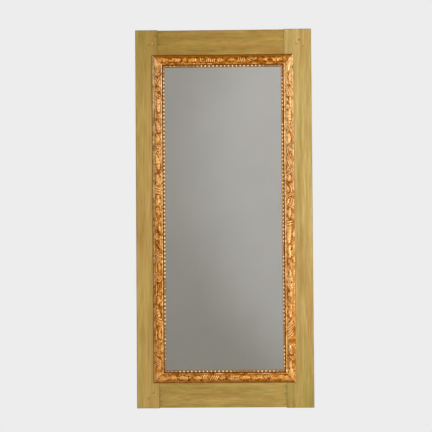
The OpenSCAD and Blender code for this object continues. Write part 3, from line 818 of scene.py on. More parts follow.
class Relief:
    """Height of the carving over its ground, in millimetres, along and across one moulding."""

    def __init__(self, run):
        self.run = run
        self.s = np.arange(-run / 2, run / 2 + STEP, STEP)
        self.t = np.arange(0, 2 * PATTERN_MIDDLE + STEP, STEP)
        self.height = np.zeros((len(self.s), len(self.t)))

    def measure(self, points, reach):
        """Distance to a line of points and how far along it, over the part of the grid near it."""
        lowest, highest = points.min(0) - reach, points.max(0) + reach
        part = tuple(slice(*np.searchsorted(grid, (lowest[i], highest[i])))
                     for i, grid in enumerate((self.s, self.t)))
        s, t = np.meshgrid(self.s[part[0]], self.t[part[1]], indexing="ij")
        best, along, gone = np.full(s.shape, 1e9), np.zeros(s.shape), 0.0
        for a, b in zip(points[:-1], points[1:]):
            step = b - a
            size = max(float(np.hypot(*step)), 1e-6)
            k = np.clip(((s - a[0]) * step[0] + (t - a[1]) * step[1]) / size ** 2, 0, 1)
            away = np.hypot(s - a[0] - k * step[0], t - a[1] - k * step[1])
            along = np.where(away < best, gone + k * size, along)
            best = np.minimum(best, away)
            gone += size
        return part, best, along / max(gone, 1e-6)

    def rise(self, points, wide, tall, square=2.0):
        """A rounded ridge along a line. wide and tall are its half width and height from start to end."""
        part, away, along = self.measure(as_line(points), max(wide))
        half, top = (np.interp(along, np.linspace(0, 1, len(row)), row) for row in (wide, tall))
        raised = top * np.clip(1 - (away / half) ** square, 0, 1) ** 0.5
        self.height[part] = np.maximum(self.height[part], raised)

    def cut(self, points, wide, deep):
        """A gouge cut along a line."""
        part, away, _ = self.measure(as_line(points), wide)
        self.height[part] -= deep * np.clip(1 - (away / wide) ** 2, 0, 1)


def as_line(points):
    """A line of points, where a single point becomes a very short line."""
    points = np.atleast_2d(np.asarray(points, float))
    return points if len(points) > 1 else np.repeat(points, 2, 0) + [[0, 0], [0.01, 0]]


# The small leaves that fill the roll: their spacing along it and their rows across it
FOLIAGE_PITCH = 8.0
FOLIAGE_ROWS = (2.5, 8.5, 16, 24, 31.5, 37.5)


def foliage(relief, seed):
    """Small curled leaves side by side, which fill the roll under the larger motifs."""
    rough = np.random.default_rng(seed)
    for s in np.arange(-relief.run / 2 + 10, relief.run / 2 - 9, FOLIAGE_PITCH):
        for t in FOLIAGE_ROWS:
            place = (s + rough.uniform(-2.5, 2.5), t + rough.uniform(-1.6, 1.6))
            way, turn = rough.uniform(0, 360), rough.choice((-1, 1)) * rough.uniform(80, 165)
            line = arc_line(*place, rough.uniform(3.2, 5.2), way, way + turn, 8)
            relief.cut(line, 3.4, 1.5)
            relief.rise(line, (rough.uniform(1.9, 2.8), 2.0, 0.8), (rough.uniform(3.7, 4.8), 4.3, 3.4))


# Points of a leaf's rib, and the distance between its lobes in millimetres
RIB_POINTS = 14
LOBE_PITCH = 11


def leaf(relief, s0, s1, t0, t1, half):
    """An acanthus leaf from its foot to its tip: a full body cut into lobes by curved veins."""
    foot, tip = np.array([s0, t0], float), np.array([s1, t1], float)
    way = tip - foot
    size = np.hypot(*way)
    ahead = way / size
    side = np.array([-ahead[1], ahead[0]])
    rib = curve(foot, (foot + tip) / 2 + side * half * 0.35, tip, RIB_POINTS)
    relief.cut(rib, half + 2, 1.0)
    relief.rise(rib, (half * 0.55, half, half, half * 0.8, half * 0.3), (3.6, 4.3, 4.5, 4.6, 5.0), 3.5)
    lobes = max(2, int(size / LOBE_PITCH))
    for k in range(lobes):
        f = (k + 0.35) / lobes
        root = rib[int(f * (RIB_POINTS - 1))]
        spread = half * (0.75 + 0.35 * math.sin(math.pi * f))
        for sign in (-1, 1):
            end = root + ahead * size * 0.24 + side * sign * spread
            turn = root + ahead * size * 0.02 + side * sign * spread * 0.75
            relief.cut(curve(root, turn, end), 1.25, 1.7)
            relief.cut([end], 2.6, 3.0)
            crown = root + ahead * size * 0.5 / lobes + side * sign * spread * 0.62
            relief.rise([root + ahead * size * 0.3 / lobes, crown], (1.2, 2.0), (4.4, TOP))
    relief.cut(rib + side * 1.9, 0.8, 1.2)
    relief.cut(rib - side * 1.9, 0.8, 1.2)
    relief.rise(rib, (1.5, 0.9), (TOP, 4.8))


SCROLL_TURN, GROOVE_TURN = 150, 110


def scroll(relief, s, t, radius, facing):
    """A raised C scroll round a boss. facing is 1 where its back is towards the end of the run."""
    turn = 0 if facing > 0 else 180
    line = arc_line(s, t, radius, turn - SCROLL_TURN, turn + SCROLL_TURN)
    relief.cut(line, 4.2, 2.6)
    relief.rise(line, (1.6, 2.6, 1.6), (4.8, TOP, 4.8))
    relief.cut(arc_line(s, t, radius - 0.3, turn - GROOVE_TURN, turn + GROOVE_TURN), 0.8, 1.1)
    for sign in (-1, 1):
        end = rim_point(s, t, radius, turn + sign * SCROLL_TURN)
        relief.rise([end + [facing * 1.5, -sign * 1.5]], (3.0,), (TOP,))
    boss = [[s - facing * radius * 0.1, t]]
    relief.rise(boss, (radius * 0.55,), (4.6,), 3.0)
    relief.cut(boss, radius * 0.2, 1.6)


# Across the roll, where the flutes start and end, and how far they slant and bow along it
FLUTE_FROM, FLUTE_TO = 8.0, 32.0
FLUTE_SLANT, FLUTE_BOW = 5, 3


def flutes(relief, s0, s1, count, slant=0.0):
    """Finger like flutes side by side across the roll."""
    pitch = (s1 - s0) / count
    rough = np.random.default_rng(int(abs(s0)) + 7)
    slant += FLUTE_SLANT

    def flute(s, first, last):
        return curve((s - slant / 2, first), (s + FLUTE_BOW, (FLUTE_FROM + FLUTE_TO) / 2),
                     (s + slant / 2, last), 8)
    for k in range(count):
        s = s0 + pitch * (k + 0.5) + rough.uniform(-0.8, 0.8)
        first, last = FLUTE_FROM + rough.uniform(-0.5, 4), FLUTE_TO + rough.uniform(-4, 0.5)
        relief.rise(flute(s, first, last), (abs(pitch) * 0.3, abs(pitch) * 0.5, abs(pitch) * 0.4),
                    (4.2, TOP, 4.6))
    for k in range(count + 1):
        relief.cut(flute(s0 + pitch * k, FLUTE_FROM, FLUTE_TO), 1.5, 1.7)


def bud(relief, s, t, radius):
    relief.cut([[s, t]], radius * 1.7, 2.2)
    relief.rise([[s, t]], (radius,), (TOP,))


def pit(relief, s, t, radius, deep=3.6):
    relief.cut([[s, t]], radius, deep)


# Distance between the notches of a cushion, in millimetres
NOTCH_PITCH = 7


def cushion(relief, s0, s1, t, half):
    """A smooth swelling strap with sunk lines along it and a gouged edge."""
    rough = np.random.default_rng(int(abs(s0)) + 3)
    sway = rough.uniform(-3, 3)
    line = curve((s0 + half * 0.8, t - sway), ((s0 + s1) / 2, t + 2 * sway), (s1 - half * 0.8, t - sway), 10)
    relief.cut(line, half + 2.4, 1.6)
    relief.rise(line, (half * 0.7, half, half * 1.05, half * 0.8), (4.2, TOP, 4.8, 4.2), 3.0)
    for off in (-0.6, 0.6):
        relief.cut(line + [0, half * off], 1.0, 1.2)
    for k in range(2):
        s = s0 + (s1 - s0) * (0.35 + 0.4 * k) + rough.uniform(-3, 3)
        side = rough.choice((-1, 1))
        gouge = curve((s - 6, t + side * half), (s, t + side * half * 0.2), (s + 7, t + side * 2), 8)
        relief.cut(gouge, 1.8, 2.2)
    for k in range(int((s1 - s0) / NOTCH_PITCH)):
        for sign in (-1, 1):
            relief.cut([[s0 + 5 + NOTCH_PITCH * k, t + sign * half * 0.95]], 1.7, 1.8)


def ridge(relief, s0, t0, s1, t1, bow, wide=2.6):
    """A long raised line, bowed across the roll, with a gouge on both sides."""
    middle = ((s0 + s1) / 2, (t0 + t1) / 2 + bow)
    line = curve((s0, t0), middle, (s1, t1), 16)
    relief.cut(line, wide + 2.4, 2.6)
    relief.rise(line, (wide * 0.6, wide, wide * 0.7), (4.6, TOP, 4.4))


# Petals of a rosette, and the turn from one to the next in degrees
PETALS = 7
PETAL_TURN = 51.4


def rosette(relief, s, t, radius):
    """A ring of petals round a boss."""
    relief.cut([[s, t]], radius * 1.25, 2.6)
    for k in range(PETALS):
        end = rim_point(s, t, radius * 0.7, PETAL_TURN * k)
        relief.rise([[s, t], end], (1.2, radius * 0.34), (3.4, TOP))
        relief.cut([(end + [s, t]) / 2, end], 0.7, 1.0)
    relief.cut([[s, t]], radius * 0.42, 2.4)
    relief.rise([[s, t]], (radius * 0.3,), (TOP,))


# Distance between punched holes, in millimetres
PUNCH_PITCH = 4.6


def punched(relief, s0, s1, t0=9.0, t1=32.0):
    """Ground raised a little and punched with rows of small round holes."""
    relief.rise([[s0 + 4, (t0 + t1) / 2], [s1 - 4, (t0 + t1) / 2]], ((t1 - t0) / 2,), (3.4,), 6.0)
    for i, s in enumerate(np.arange(s0 + 2, s1 - 1, PUNCH_PITCH)):
        for t in np.arange(t0 + (i % 2) * PUNCH_PITCH / 2, t1, PUNCH_PITCH):
            relief.cut([[s, t]], 1.7, 2.6)


# How far a fan opens, in degrees
FAN_SPREAD = 152


def fan(relief, s, t, radius, facing, count):
    """A shell of flutes that spread from one point."""
    turn = 0 if facing > 0 else 180
    relief.cut([[s + facing * radius * 0.5, t]], radius, 1.6)
    for k in range(count):
        end = rim_point(s, t, radius, turn - FAN_SPREAD / 2 + FAN_SPREAD * k / (count - 1))
        root = end * 0.25 + np.array([s, t]) * 0.75
        relief.rise([root, end], (1.0, radius * 0.2), (3.6, TOP))
        relief.cut([root, end], 0.7, 0.8)
    relief.rise([[s - facing * 1.5, t]], (3.2,), (TOP,))


def corner_leaf(relief, end):
    """A leaf on the mitre, its flutes spreading from the sight side towards the outer corner."""
    tip = relief.run / 2
    for k in range(6):
        t = 8 + 4.6 * k
        root = (end * (tip - 58 + 1.4 * k), 20 + (t - 20) * 0.35)
        bend = (end * (tip - 38), 18 + (t - 20) * 0.8)
        line = curve(root, bend, (end * (tip - t - 1.5), t - 2.5))
        relief.cut(line, 3.4, 1.2)
        relief.rise(line, (1.6, 1.9, 2.3), (4.2, TOP, 4.9))
    relief.rise([(end * (tip - 62), 20), (end * (tip - 53), 20)], (6.0, 3.0), (TOP, 4.4))


# The carver's motifs along each side: motif, then its place in millimetres. Distances run along
# the side from its middle, downwards on the left and right and to the right on the top and bottom;
# t runs inwards from the outer side.
CARVING = {
    "left": [
        (scroll, -590, 20, 9, 1), (bud, -572, 27, 4), (bud, -556, 14, 4), (ridge, -566, 26, -536, 15, 6),
        (rosette, -512, 22, 9), (flutes, -497, -482, 2, 8), (bud, -476, 13, 4), (pit, -484, 27, 3.5),
        (leaf, -470, -422, 22, 24, 10), (ridge, -424, 13, -390, 13, -3), (scroll, -404, 25, 8, -1),
        (bud, -389, 29, 3.4), (leaf, -384, -340, 20, 24, 10), (pit, -350, 12, 3.2),
        (cushion, -338, -296, 20, 10), (scroll, -281, 20, 11, 1), (bud, -250, 26, 4.2),
        (pit, -258, 14, 3.4), (leaf, -246, -192, 16, 24, 10), (bud, -220, 31, 3), (bud, -188, 30, 3.4),
        (cushion, -178, -130, 20, 10.5), (flutes, -127, -98, 3), (cushion, -96, -46, 20, 10.5),
        (leaf, -8, -42, 24, 18, 10), (ridge, -4, 12, 52, 12, -2, 2.4), (bud, 10, 26, 3.6),
        (bud, 26, 28, 3), (leaf, 24, 48, 26, 26, 6), (pit, 55, 20, 4), (fan, 68, 20, 15, 1, 7),
        (ridge, 92, 12, 118, 28, 5), (pit, 106, 14, 3.6), (bud, 124, 17, 4), (pit, 137, 27, 3.4),
        (flutes, 142, 172, 4, 10), (ridge, 176, 12, 212, 12, -2, 2.4), (leaf, 208, 176, 26, 24, 7),
        (scroll, 236, 21, 12, 1), (ridge, 258, 12, 304, 12, -1, 2.4), (pit, 266, 26, 4),
        (bud, 278, 24, 3.4), (pit, 291, 27, 3.4), (cushion, 304, 342, 20, 9.5), (pit, 353, 23, 5, 3.2),
        (leaf, 362, 388, 16, 22, 9), (flutes, 388, 408, 2, 8), (punched, 410, 436),
        (cushion, 434, 478, 24, 7), (ridge, 428, 12, 478, 10, -1, 2.2), (bud, 482, 22, 4.6),
        (punched, 492, 532, 12, 30), (ridge, 492, 30, 530, 31, 2, 2), (bud, 540, 20, 4.6),
        (flutes, 549, 588, 5, 8),
    ],
    "right": [
        (ridge, -586, 12, -556, 24, -6), (cushion, -574, -530, 14, 7), (bud, -544, 14, 4.4),
        (pit, -526, 18, 4), (ridge, -520, 12, -480, 28, 4), (bud, -506, 27, 4), (bud, -492, 14, 3.6),
        (cushion, -482, -436, 13, 7), (scroll, -440, 28, 7, 1), (pit, -460, 27, 3.2),
        (leaf, -426, -372, 15, 18, 9), (punched, -424, -372, 24, 32), (ridge, -366, 14, -340, 27, -4),
        (cushion, -338, -292, 19, 9.5), (ridge, -292, 10, -268, 27, 8, 2.8),
        (ridge, -268, 27, -238, 16, 6, 2.8), (bud, -270, 12, 4.4), (ridge, -236, 17, -200, 15, 12, 2.6),
        (bud, -216, 12, 4), (bud, -189, 17, 4.4), (flutes, -184, -172, 2, 10),
        (cushion, -172, -140, 20, 9.5), (ridge, -136, 28, -98, 14, -18, 3), (leaf, -124, -102, 28, 24, 6),
        (flutes, -98, -84, 2), (bud, -79, 18, 4.4), (ridge, -44, 28, -78, 14, -18, 3),
        (leaf, -54, -74, 28, 24, 6), (cushion, -40, 4, 20, 10), (flutes, 10, 30, 2),
        (leaf, 32, 100, 18, 24, 11), (pit, 58, 11, 3.4), (cushion, 106, 160, 22, 9), (bud, 168, 14, 3),
        (bud, 176, 22, 3), (bud, 184, 13, 3), (bud, 190, 24, 3), (bud, 197, 16, 3), (pit, 170, 29, 3),
        (pit, 190, 31, 3), (fan, 250, 20, 15, -1, 7), (cushion, 204, 236, 20, 8),
        (scroll, 268, 17, 10, 1), (pit, 290, 27, 3.6), (punched, 300, 344), (leaf, 348, 390, 16, 20, 10),
        (pit, 398, 20, 4.4), (flutes, 406, 472, 6, 14), (punched, 476, 502), (cushion, 500, 540, 22, 9),
        (scroll, 552, 20, 9, 1), (leaf, 568, 592, 20, 20, 9),
    ],
    "top": [
        (flutes, -240, -224, 3), (leaf, -222, -168, 20, 20, 10), (rosette, -146, 17, 9),
        (pit, -160, 26, 3.4), (leaf, -134, -104, 22, 18, 10), (bud, -98, 19, 4.4), (flutes, -92, -32, 8),
        (leaf, -30, 0, 16, 24, 10), (scroll, 8, 15, 7, 1), (cushion, 16, 56, 20, 10), (bud, 62, 19, 4.4),
        (flutes, 68, 88, 3), (bud, 94, 14, 4), (ridge, 96, 14, 118, 26, 10, 2.8),
        (ridge, 112, 27, 136, 14, 4, 2.8), (fan, 140, 20, 14, 1, 6), (leaf, 160, 182, 24, 16, 7),
        (bud, 186, 19, 4.2), (flutes, 192, 216, 3, 12),
    ],
    "bottom": [
        (flutes, -240, -222, 3, 6), (leaf, -218, -188, 18, 22, 10), (bud, -206, 29, 3.2),
        (bud, -190, 13, 3.2), (leaf, -184, -146, 22, 18, 10), (pit, -160, 28, 3.6), (bud, -138, 22, 4.6),
        (pit, -129, 20, 3.6), (cushion, -126, -88, 20, 10.5), (scroll, -76, 24, 8, -1),
        (flutes, -58, -26, 4, 6), (cushion, -24, 4, 20, 10), (ridge, 8, 24, 64, 22, -16, 3),
        (ridge, 10, 12, 60, 12, -1, 2.2), (leaf, 64, 98, 20, 22, 9), (pit, 102, 13, 4),
        (leaf, 108, 146, 20, 24, 10.5), (flutes, 148, 166, 3, 8), (scroll, 176, 25, 7, 1),
        (bud, 168, 14, 3.4), (bud, 188, 29, 3.4), (punched, 190, 224, 10, 28),
        (leaf, 206, 236, 24, 24, 8),
    ],
}


def side_run(outline, side):
    return (outline[1] - outline[0] if side in ("top", "bottom") else outline[3] - outline[2]) / MM


def blurred(values, reach):
    """A grid softened over a reach in millimetres."""
    pad = int(4 * reach / STEP)
    wide = np.pad(values, pad, mode="edge")
    along = np.fft.fftfreq(wide.shape[0], STEP)[:, None]
    across = np.fft.rfftfreq(wide.shape[1], STEP)[None, :]
    keep = np.exp(-2 * (math.pi * reach) ** 2 * (along ** 2 + across ** 2))
    soft = np.fft.irfft2(np.fft.rfft2(wide) * keep, wide.shape)
    return soft[pad:-pad, pad:-pad]


# Noise of the gilded work: the size of its cells along and across a side, in millimetres, and its seed
GILT_NOISE = {
    "ground": ((8, 6), 50), "sinks": ((12, 9), 110), "tool_marks": ((3.4, 2.6), 60),
    "lumps": ((11, 4), 70), "grit": ((2.6, 2.2), 80), "band_chips": ((7, 5), 90),
    "lip_chips": ((4.5, 4), 130), "patches": ((16, 8), 100), "pale": ((30, 7), 140),
    "blotches": ((9, 7), 150), "strip": ((7, 3), 120),
}
FOLIAGE_SEED = 40

# Depth of the ground that sinks in places, and how far the finished carving is softened
SINK_DEPTH = 2.4
LOWEST_CUT, HIGHEST_CREST = -0.8, TOP + 0.3
SOFTENING = 0.7


def gilt_noise(kind, side, s, t):
    cell, seed = GILT_NOISE[kind]
    return soft_noise(s, t, cell, seed + SIDES.index(side))


def carve(side):
    """The relief of one side, softened as gesso and gilding soften it, and the stain in its low ground."""
    relief = Relief(side_run(MOULDING_OUT, side))
    s, t = relief.s[:, None], relief.t[None, :]
    relief.height += GROUND + 0.7 * gilt_noise("ground", side, s, t)
    foliage(relief, FOLIAGE_SEED + SIDES.index(side))
    sunk = np.clip(gilt_noise("sinks", side, s, t) - 0.05, 0, 1)
    relief.height -= SINK_DEPTH * sunk
    for motif, *place in CARVING[side]:
        motif(relief, *place)
    for end in (-1, 1):
        corner_leaf(relief, end)
    relief.height += 0.6 * gilt_noise("tool_marks", side, s, t)
    relief.height = blurred(np.clip(relief.height, LOWEST_CUT, HIGHEST_CREST), SOFTENING)
    relief.stain = np.clip(2.0 * sunk, 0, 1) * np.clip((4.6 - relief.height) / 1.6, 0, 1)
    return relief


def roll_edges():
    """Where the carved roll starts and ends across the moulding, in millimetres."""
    look = bpy.context.scene.mirror_gilt
    return (look.outer_band + look.quirk) / MM, WIDTH - (look.inner_lip + look.quirk) / MM


def sample(relief, values, s, t):
    """Reads a grid of the pattern at places along and across the moulding, between its points."""
    roll0, roll1 = roll_edges()
    in_pattern = PATTERN_MIDDLE + PATTERN_HALF * (2 * t - roll0 - roll1) / (roll1 - roll0)
    i = np.clip((s - relief.s[0]) / STEP, 0, len(relief.s) - 1.001)
    j = np.clip(in_pattern / STEP, 0, len(relief.t) - 1.001)
    a, b = i.astype(int), j.astype(int)
    u, v = i - a, j - b
    near = values[a, b] * (1 - u) + values[a + 1, b] * u
    far = values[a, b + 1] * (1 - u) + values[a + 1, b + 1] * u
    return near * (1 - v) + far * v


# The section's stations: how many lie on the band and the roll, how far in from the roll's edges the
# carving has its full depth, its share on the plain band and lip, the lip's round, as shares of its
# width and millimetres under its height, the room over the crown and the slope of a quirk's walls
BAND_STATIONS = 13
ROLL_STATIONS = 40
CARVING_START = 1.8
PLAIN_REACH = 0.35
LIP_ROUND = ((0.12, 0.35), (0.3, 0.1), (0.55, 0.1), (0.8, 0.3), (0.94, 0.9), (1.0, 1.6))
CROWN_ROOM = 0.2
QUIRK_WALL = 0.12


def moulding_section():
    """Stations across the moulding: distance in, height, and how far the carving reaches there."""
    look = bpy.context.scene.mirror_gilt
    band, band_height, edge = (v / MM for v in (look.outer_band, look.outer_band_height, look.band_edge))
    lip, lip_height = look.inner_lip / MM, look.inner_lip_height / MM
    quirk, foot = look.quirk / MM, look.quirk_height / MM
    roll0, roll1 = roll_edges()
    middle, half, crown = (roll0 + roll1) / 2, (roll1 - roll0) / 2, ROLL_HEIGHT / MM - CROWN_ROOM
    rows = [(0, 0, 0)]
    for turn in np.linspace(0, math.pi / 2, BAND_STATIONS):
        rows.append((band * (1 - math.cos(turn)), edge + (band_height - edge) * math.sin(turn),
                     min(PLAIN_REACH, turn * 0.5)))
    rows += [(band + QUIRK_WALL, foot + 0.4, 0), (band + quirk * 0.5, foot, 0)]
    for t in np.linspace(roll0, roll1, ROLL_STATIONS):
        lift = math.sqrt(max(0.0, 1 - ((t - middle) / half) ** 2))
        rows.append((t, foot + (crown - foot) * lift, min(1.0, min(t - roll0, roll1 - t) / CARVING_START)))
    lip0 = WIDTH - lip
    rows += [(lip0 - quirk * 0.5, foot, 0), (lip0 - QUIRK_WALL, foot + 0.5, 0), (lip0, lip_height - 1.0, 0)]
    rows += [(lip0 + lip * part, lip_height - drop, PLAIN_REACH if 0.2 < part < 0.9 else 0)
             for part, drop in LIP_ROUND]
    rows.append((WIDTH, 0, 0))
    return np.array(rows, float)


def place_on_side(outline, side, s, t, h):
    """Points of the frame from distances along, across and off one side, in millimetres."""
    middle_x, middle_z = (outline[0] + outline[1]) / 2, (outline[2] + outline[3]) / 2
    y = BOARD_FRONT - h * MM
    if side in ("top", "bottom"):
        x = middle_x + s * MM
        z = outline[3] - t * MM if side == "top" else outline[2] + t * MM
    else:
        z = middle_z - s * MM
        x = outline[0] + t * MM if side == "left" else outline[1] - t * MM
    return np.stack(np.broadcast_arrays(x, y, z), -1)


def mitred(run, section, step):
    """Places of a length whose ends are cut at the mitre: the share of its run, along it, across it."""
    k = np.linspace(0, 1, int(run / step))[:, None]
    t = section[None, :, 0] + 0 * k
    return k, (-run / 2 + t) * (1 - k) + (run / 2 - t) * k, t


def mitred_length(name, side, outline, s, t, h):
    """A closed, gilded piece along one side from its grid of places and heights, with flat ends."""
    grid = place_on_side(outline, side, s, t, h)
    index = np.arange(s.size).reshape(s.shape)
    faces = tube_faces(index) + [tuple(index[0]), tuple(index[-1][::-1])]
    if side in ("top", "right"):
        faces = [face[::-1] for face in faces]
    return new_piece(name, grid.reshape(-1, 3), faces, [gilding()])


# Wear and painted shade of each side, from 0 to 1: dirt on its outer band, in its fine cuts, on its inner
# lip, in its quirks, on the outer half and in blotches of its roll and on the bead strip's outer and inner
# part, where band, cuts, quirks, roll and strip also take painted shade, heaviest on the top and bottom
# lengths; leaf worn pale on the moulding and white ground bared on the beads, which also paints a highlight
# on the beads that face the light; and its age at the start and the end of its run, which also paints shade
# on the top and bottom lengths and down the uprights
WEAR_AND_SHADE = {
    "top": {"band": 0.95, "cuts": 0.32, "lip": 0.4, "quirks": 0.45, "grime_and_shade": 0.85, "strip": 0.95,
            "bead_bed": 0.85, "pale": 0.0, "bead_gesso_and_highlight": 0.45, "age": (0.85, 0.8)},
    "left": {"band": 0.08, "cuts": 0.32, "lip": 0.1, "quirks": 0.12, "grime_and_shade": 0.16, "strip": 0.95,
             "bead_bed": 0.82, "pale": 0.08, "bead_gesso_and_highlight": 0.65, "age": (0.0, 0.75)},
    "bottom": {"band": 0.6, "cuts": 0.32, "lip": 0.4, "quirks": 0.45, "grime_and_shade": 0.35, "strip": 0.95,
               "bead_bed": 0.8, "pale": 0.02, "bead_gesso_and_highlight": 0.45, "age": (0.8, 0.75)},
    "right": {"band": 0.05, "cuts": 0.24, "lip": 0.1, "quirks": 0.12, "grime_and_shade": 0.2, "strip": 0.7,
              "bead_bed": 0.45, "pale": 0.1, "bead_gesso_and_highlight": 0.3, "age": (0.0, 0.95)},
}

# Darkening across each upright side: millimetres in from its outer edge and how much darker the leaf is made
DARKENED_ACROSS = {
    "left": ((0, 0.05), (5, 0.0), (14, 0.03), (18, 0.1), (21, 0.17), (26, 0.15), (30, 0.02), (39, 0.0)),
    "right": ((0, 0.08), (9, 0.04), (15, 0.05), (20, 0.06), (25, 0.0), (39, 0.0)),
}

# Leaf rubbed clean and pale across each upright side, given in the same way; it also paints light on the
# slopes that face away from the key lamp, the outer slope on the left and the inner slope on the right
RUBBED_AND_LIT = {
    "left": ((0, 0.0), (5, 0.15), (10, 0.35), (15, 0.15), (18, 0.0), (29, 0.0), (34, 0.2), (39, 0.35)),
    "right": ((0, 0.15), (8, 0.12), (20, 0.1), (24, 0.15), (28, 0.3), (35, 0.4), (39, 0.3)),
}

# Distance between the mesh's stations along a moulding, and its least height over the boards
MOULDING_STEP = 0.86
LEAST_HEIGHT = 0.3
# How far from the roll the plain band and lip start, and half the width of the dirt and painted shade in a
# quirk
PLAIN_FROM = 0.9
QUIRK_DIRT_AND_SHADE = 0.7


def across(table, side, t):
    """Reads a table of wear across a side; the sides that it leaves out have none."""
    rows = table.get(side, ((0, 0.0), (1, 0.0)))
    return np.interp(t, [row[0] for row in rows], [row[1] for row in rows])


class MouldingLength:
    """One mitred length of the carved moulding: its mesh, and the wear of its gilding with its painted light
    and shade.
    """

    def __init__(self, side):
        self.side, self.wear, self.relief = side, WEAR_AND_SHADE[side], carve(side)
        section = moulding_section()
        self.k, self.s, self.t = mitred(self.relief.run, section, MOULDING_STEP)
        self.section_height, self.reach = section[None, :, 1], section[None, :, 2]
        self.roll0, self.roll1 = roll_edges()
        self.band = (self.t > 0.2) & (self.t < self.roll0 - PLAIN_FROM)
        self.lip = self.t > self.roll1 + PLAIN_FROM
        self.patches = self.noise("patches")
        # Rubbed leaf across the side, with painted light on the slopes that face away from the key lamp
        self.rubbed = across(RUBBED_AND_LIT, side, self.t)
        band_chips = gilt_noise("band_chips", side, self.s, self.t * 0)
        self.chips = np.clip(band_chips - 0.5, 0, 1) * 2.4 * self.band
        self.chips += np.clip(self.noise("lip_chips") - 0.25, 0, 1) * 3.0 * self.lip

    def noise(self, kind):
        return gilt_noise(kind, self.side, self.s, self.t)

    def read(self, values):
        return sample(self.relief, values, self.s, self.t)

    def height(self):
        """Height over the boards, carved, lumpy and chipped."""
        deepest = bpy.context.scene.mirror_gilt.carving_depth / MM
        cut = deepest * (1 - self.read(self.relief.height) / TOP)
        lumps = 0.2 * self.noise("lumps") + 0.14 * self.noise("grit")
        raised = self.section_height > 0.5
        h = self.section_height - self.reach * cut + raised * (lumps - self.chips - 0.2)
        return np.where(raised, np.clip(h, LEAST_HEIGHT, ROLL_HEIGHT / MM), 0.0)

    def dirt_shade_and_highlight(self):
        """Where dirt and painted shade darken the leaf, with the darkening across the side, and where it is
        bright with burnish and painted highlight.
        """
        t, reach, wear = self.t, self.reach, self.wear
        height = self.relief.height
        cavity = self.read(blurred(height, 2.4) - height)
        carved = np.minimum(1, 2.4 * reach)
        depth = np.clip((self.read(TOP - blurred(height, 1.0)) - 1.4) / 2.2, 0, 1)
        # Painted shade with the dirt: deeper ground and fine cuts are darkened as shade would darken them
        hollow = 0.46 * depth ** 1.3 + wear["cuts"] * np.clip(cavity - 0.15, 0, 2)
        hollow = np.clip(hollow + 0.3 * self.read(self.relief.stain), 0, 1) * carved
        lip_dirt = 0.3 * self.chips + np.clip(wear["lip"] * self.patches, 0, wear["lip"])
        hollow = hollow + self.lip * lip_dirt + self.band * (wear["band"] + 0.2 * self.patches)
        # Dirt and painted shade on the outer half of the roll and in blotches, heaviest on the top
        blotches = np.clip(self.noise("blotches") - 0.15, 0, 1)
        outer_half = np.clip(1 - (t - self.roll0) / 12, 0, 1)
        hollow += wear["grime_and_shade"] * reach * (0.7 * outer_half + 1.2 * blotches)
        quirks = (np.abs(t - self.roll0 + 0.5) < QUIRK_DIRT_AND_SHADE) | (np.abs(t - self.roll1 - 0.5) < QUIRK_DIRT_AND_SHADE)
        hollow = np.where(quirks, wear["quirks"], hollow) + across(DARKENED_ACROSS, self.side, t)
        # Painted highlight with burnish on the rounded crests, and on patches of the lip
        crest = np.clip(-0.8 * cavity, 0, 1) * carved + np.clip(0.3 - self.patches, 0, 0.5) * self.lip
        # Rubbed places lose their darkness and grow bright: partly leaf rubbed pale, partly painted light on
        # slopes in shade
        return hollow * (1 - self.rubbed), crest + 2 * self.rubbed

    def worn_pale_and_lit(self, hollow):
        """Leaf worn pale, most of it near the start of the run; near the outer edge and on the rubbed slopes
        it also paints light where the lamps leave shade.
        """
        fade = 1.5 * (1 - self.k) ** 1.3
        pale = np.clip(fade + 0.1 + 1.2 * self.noise("pale"), 0.05, 2)
        inner = 0.3 * np.clip((self.t - self.roll1) / 9 + 1, 0, 1)
        outer = 1.6 * np.clip(2 - self.t / 8, 0, 1)
        pale = self.wear["pale"] * (pale + fade * (inner + outer))
        pale = pale + 0.2 * self.rubbed * np.clip(0.5 * fade + 0.3 + 0.5 * self.patches, 0, 1)
        return pale * (1 - 0.6 * hollow)


def moulding(side):
    """One mitred length of the carved moulding."""
    part = MouldingLength(side)
    piece = mitred_length(side + "_carved_moulding", side, MOULDING_OUT, part.s, part.t, part.height())
    hollow, crest = part.dirt_shade_and_highlight()
    # Age grows along the run; it also paints shade down the uprights and over the top and bottom lengths
    young, old = part.wear["age"]
    set_attributes(piece, hollow=np.clip(hollow, 0, 1), crest=np.clip(crest, 0, 1),
                   gesso=np.clip(part.worn_pale_and_lit(hollow), 0, 1),
                   age=np.clip(young + (old - young) * part.k + 0.3 * part.patches, 0, 1))
    settle(piece, "giltwood", side + "_moulding")


class MIRROR_OT_mouldings(bpy.types.Operator):
    """Carve the four mitred mouldings"""
    bl_idname = "mirror.mouldings"
    bl_label = "Carved Mouldings"

    def execute(self, context):
        for side in SIDES:
            moulding(side)
        return {"FINISHED"}


# Beads

# Stretches where the beads are rubbed away or lost, in millimetres along each side
BEADS_LOST = {
    "left": [(-610, -562), (232, 296), (424, 476), (500, 610)],
    "right": [(-590, -560), (-430, -372), (96, 140), (430, 506)],
    "top": [(-244, -96), (156, 244)],
    "bottom": [(-244, -186), (24, 60), (66, 124), (196, 244)],
}

# Width of the strip under the beads, distance between its stations, and the age of its leaf and theirs
STRIP_WIDTH = (MOULDING_IN[3] - SIGHT[3]) / MM
STRIP_STEP = 3
BEAD_AGE = 0.2
STRIP_AGE = 0.4
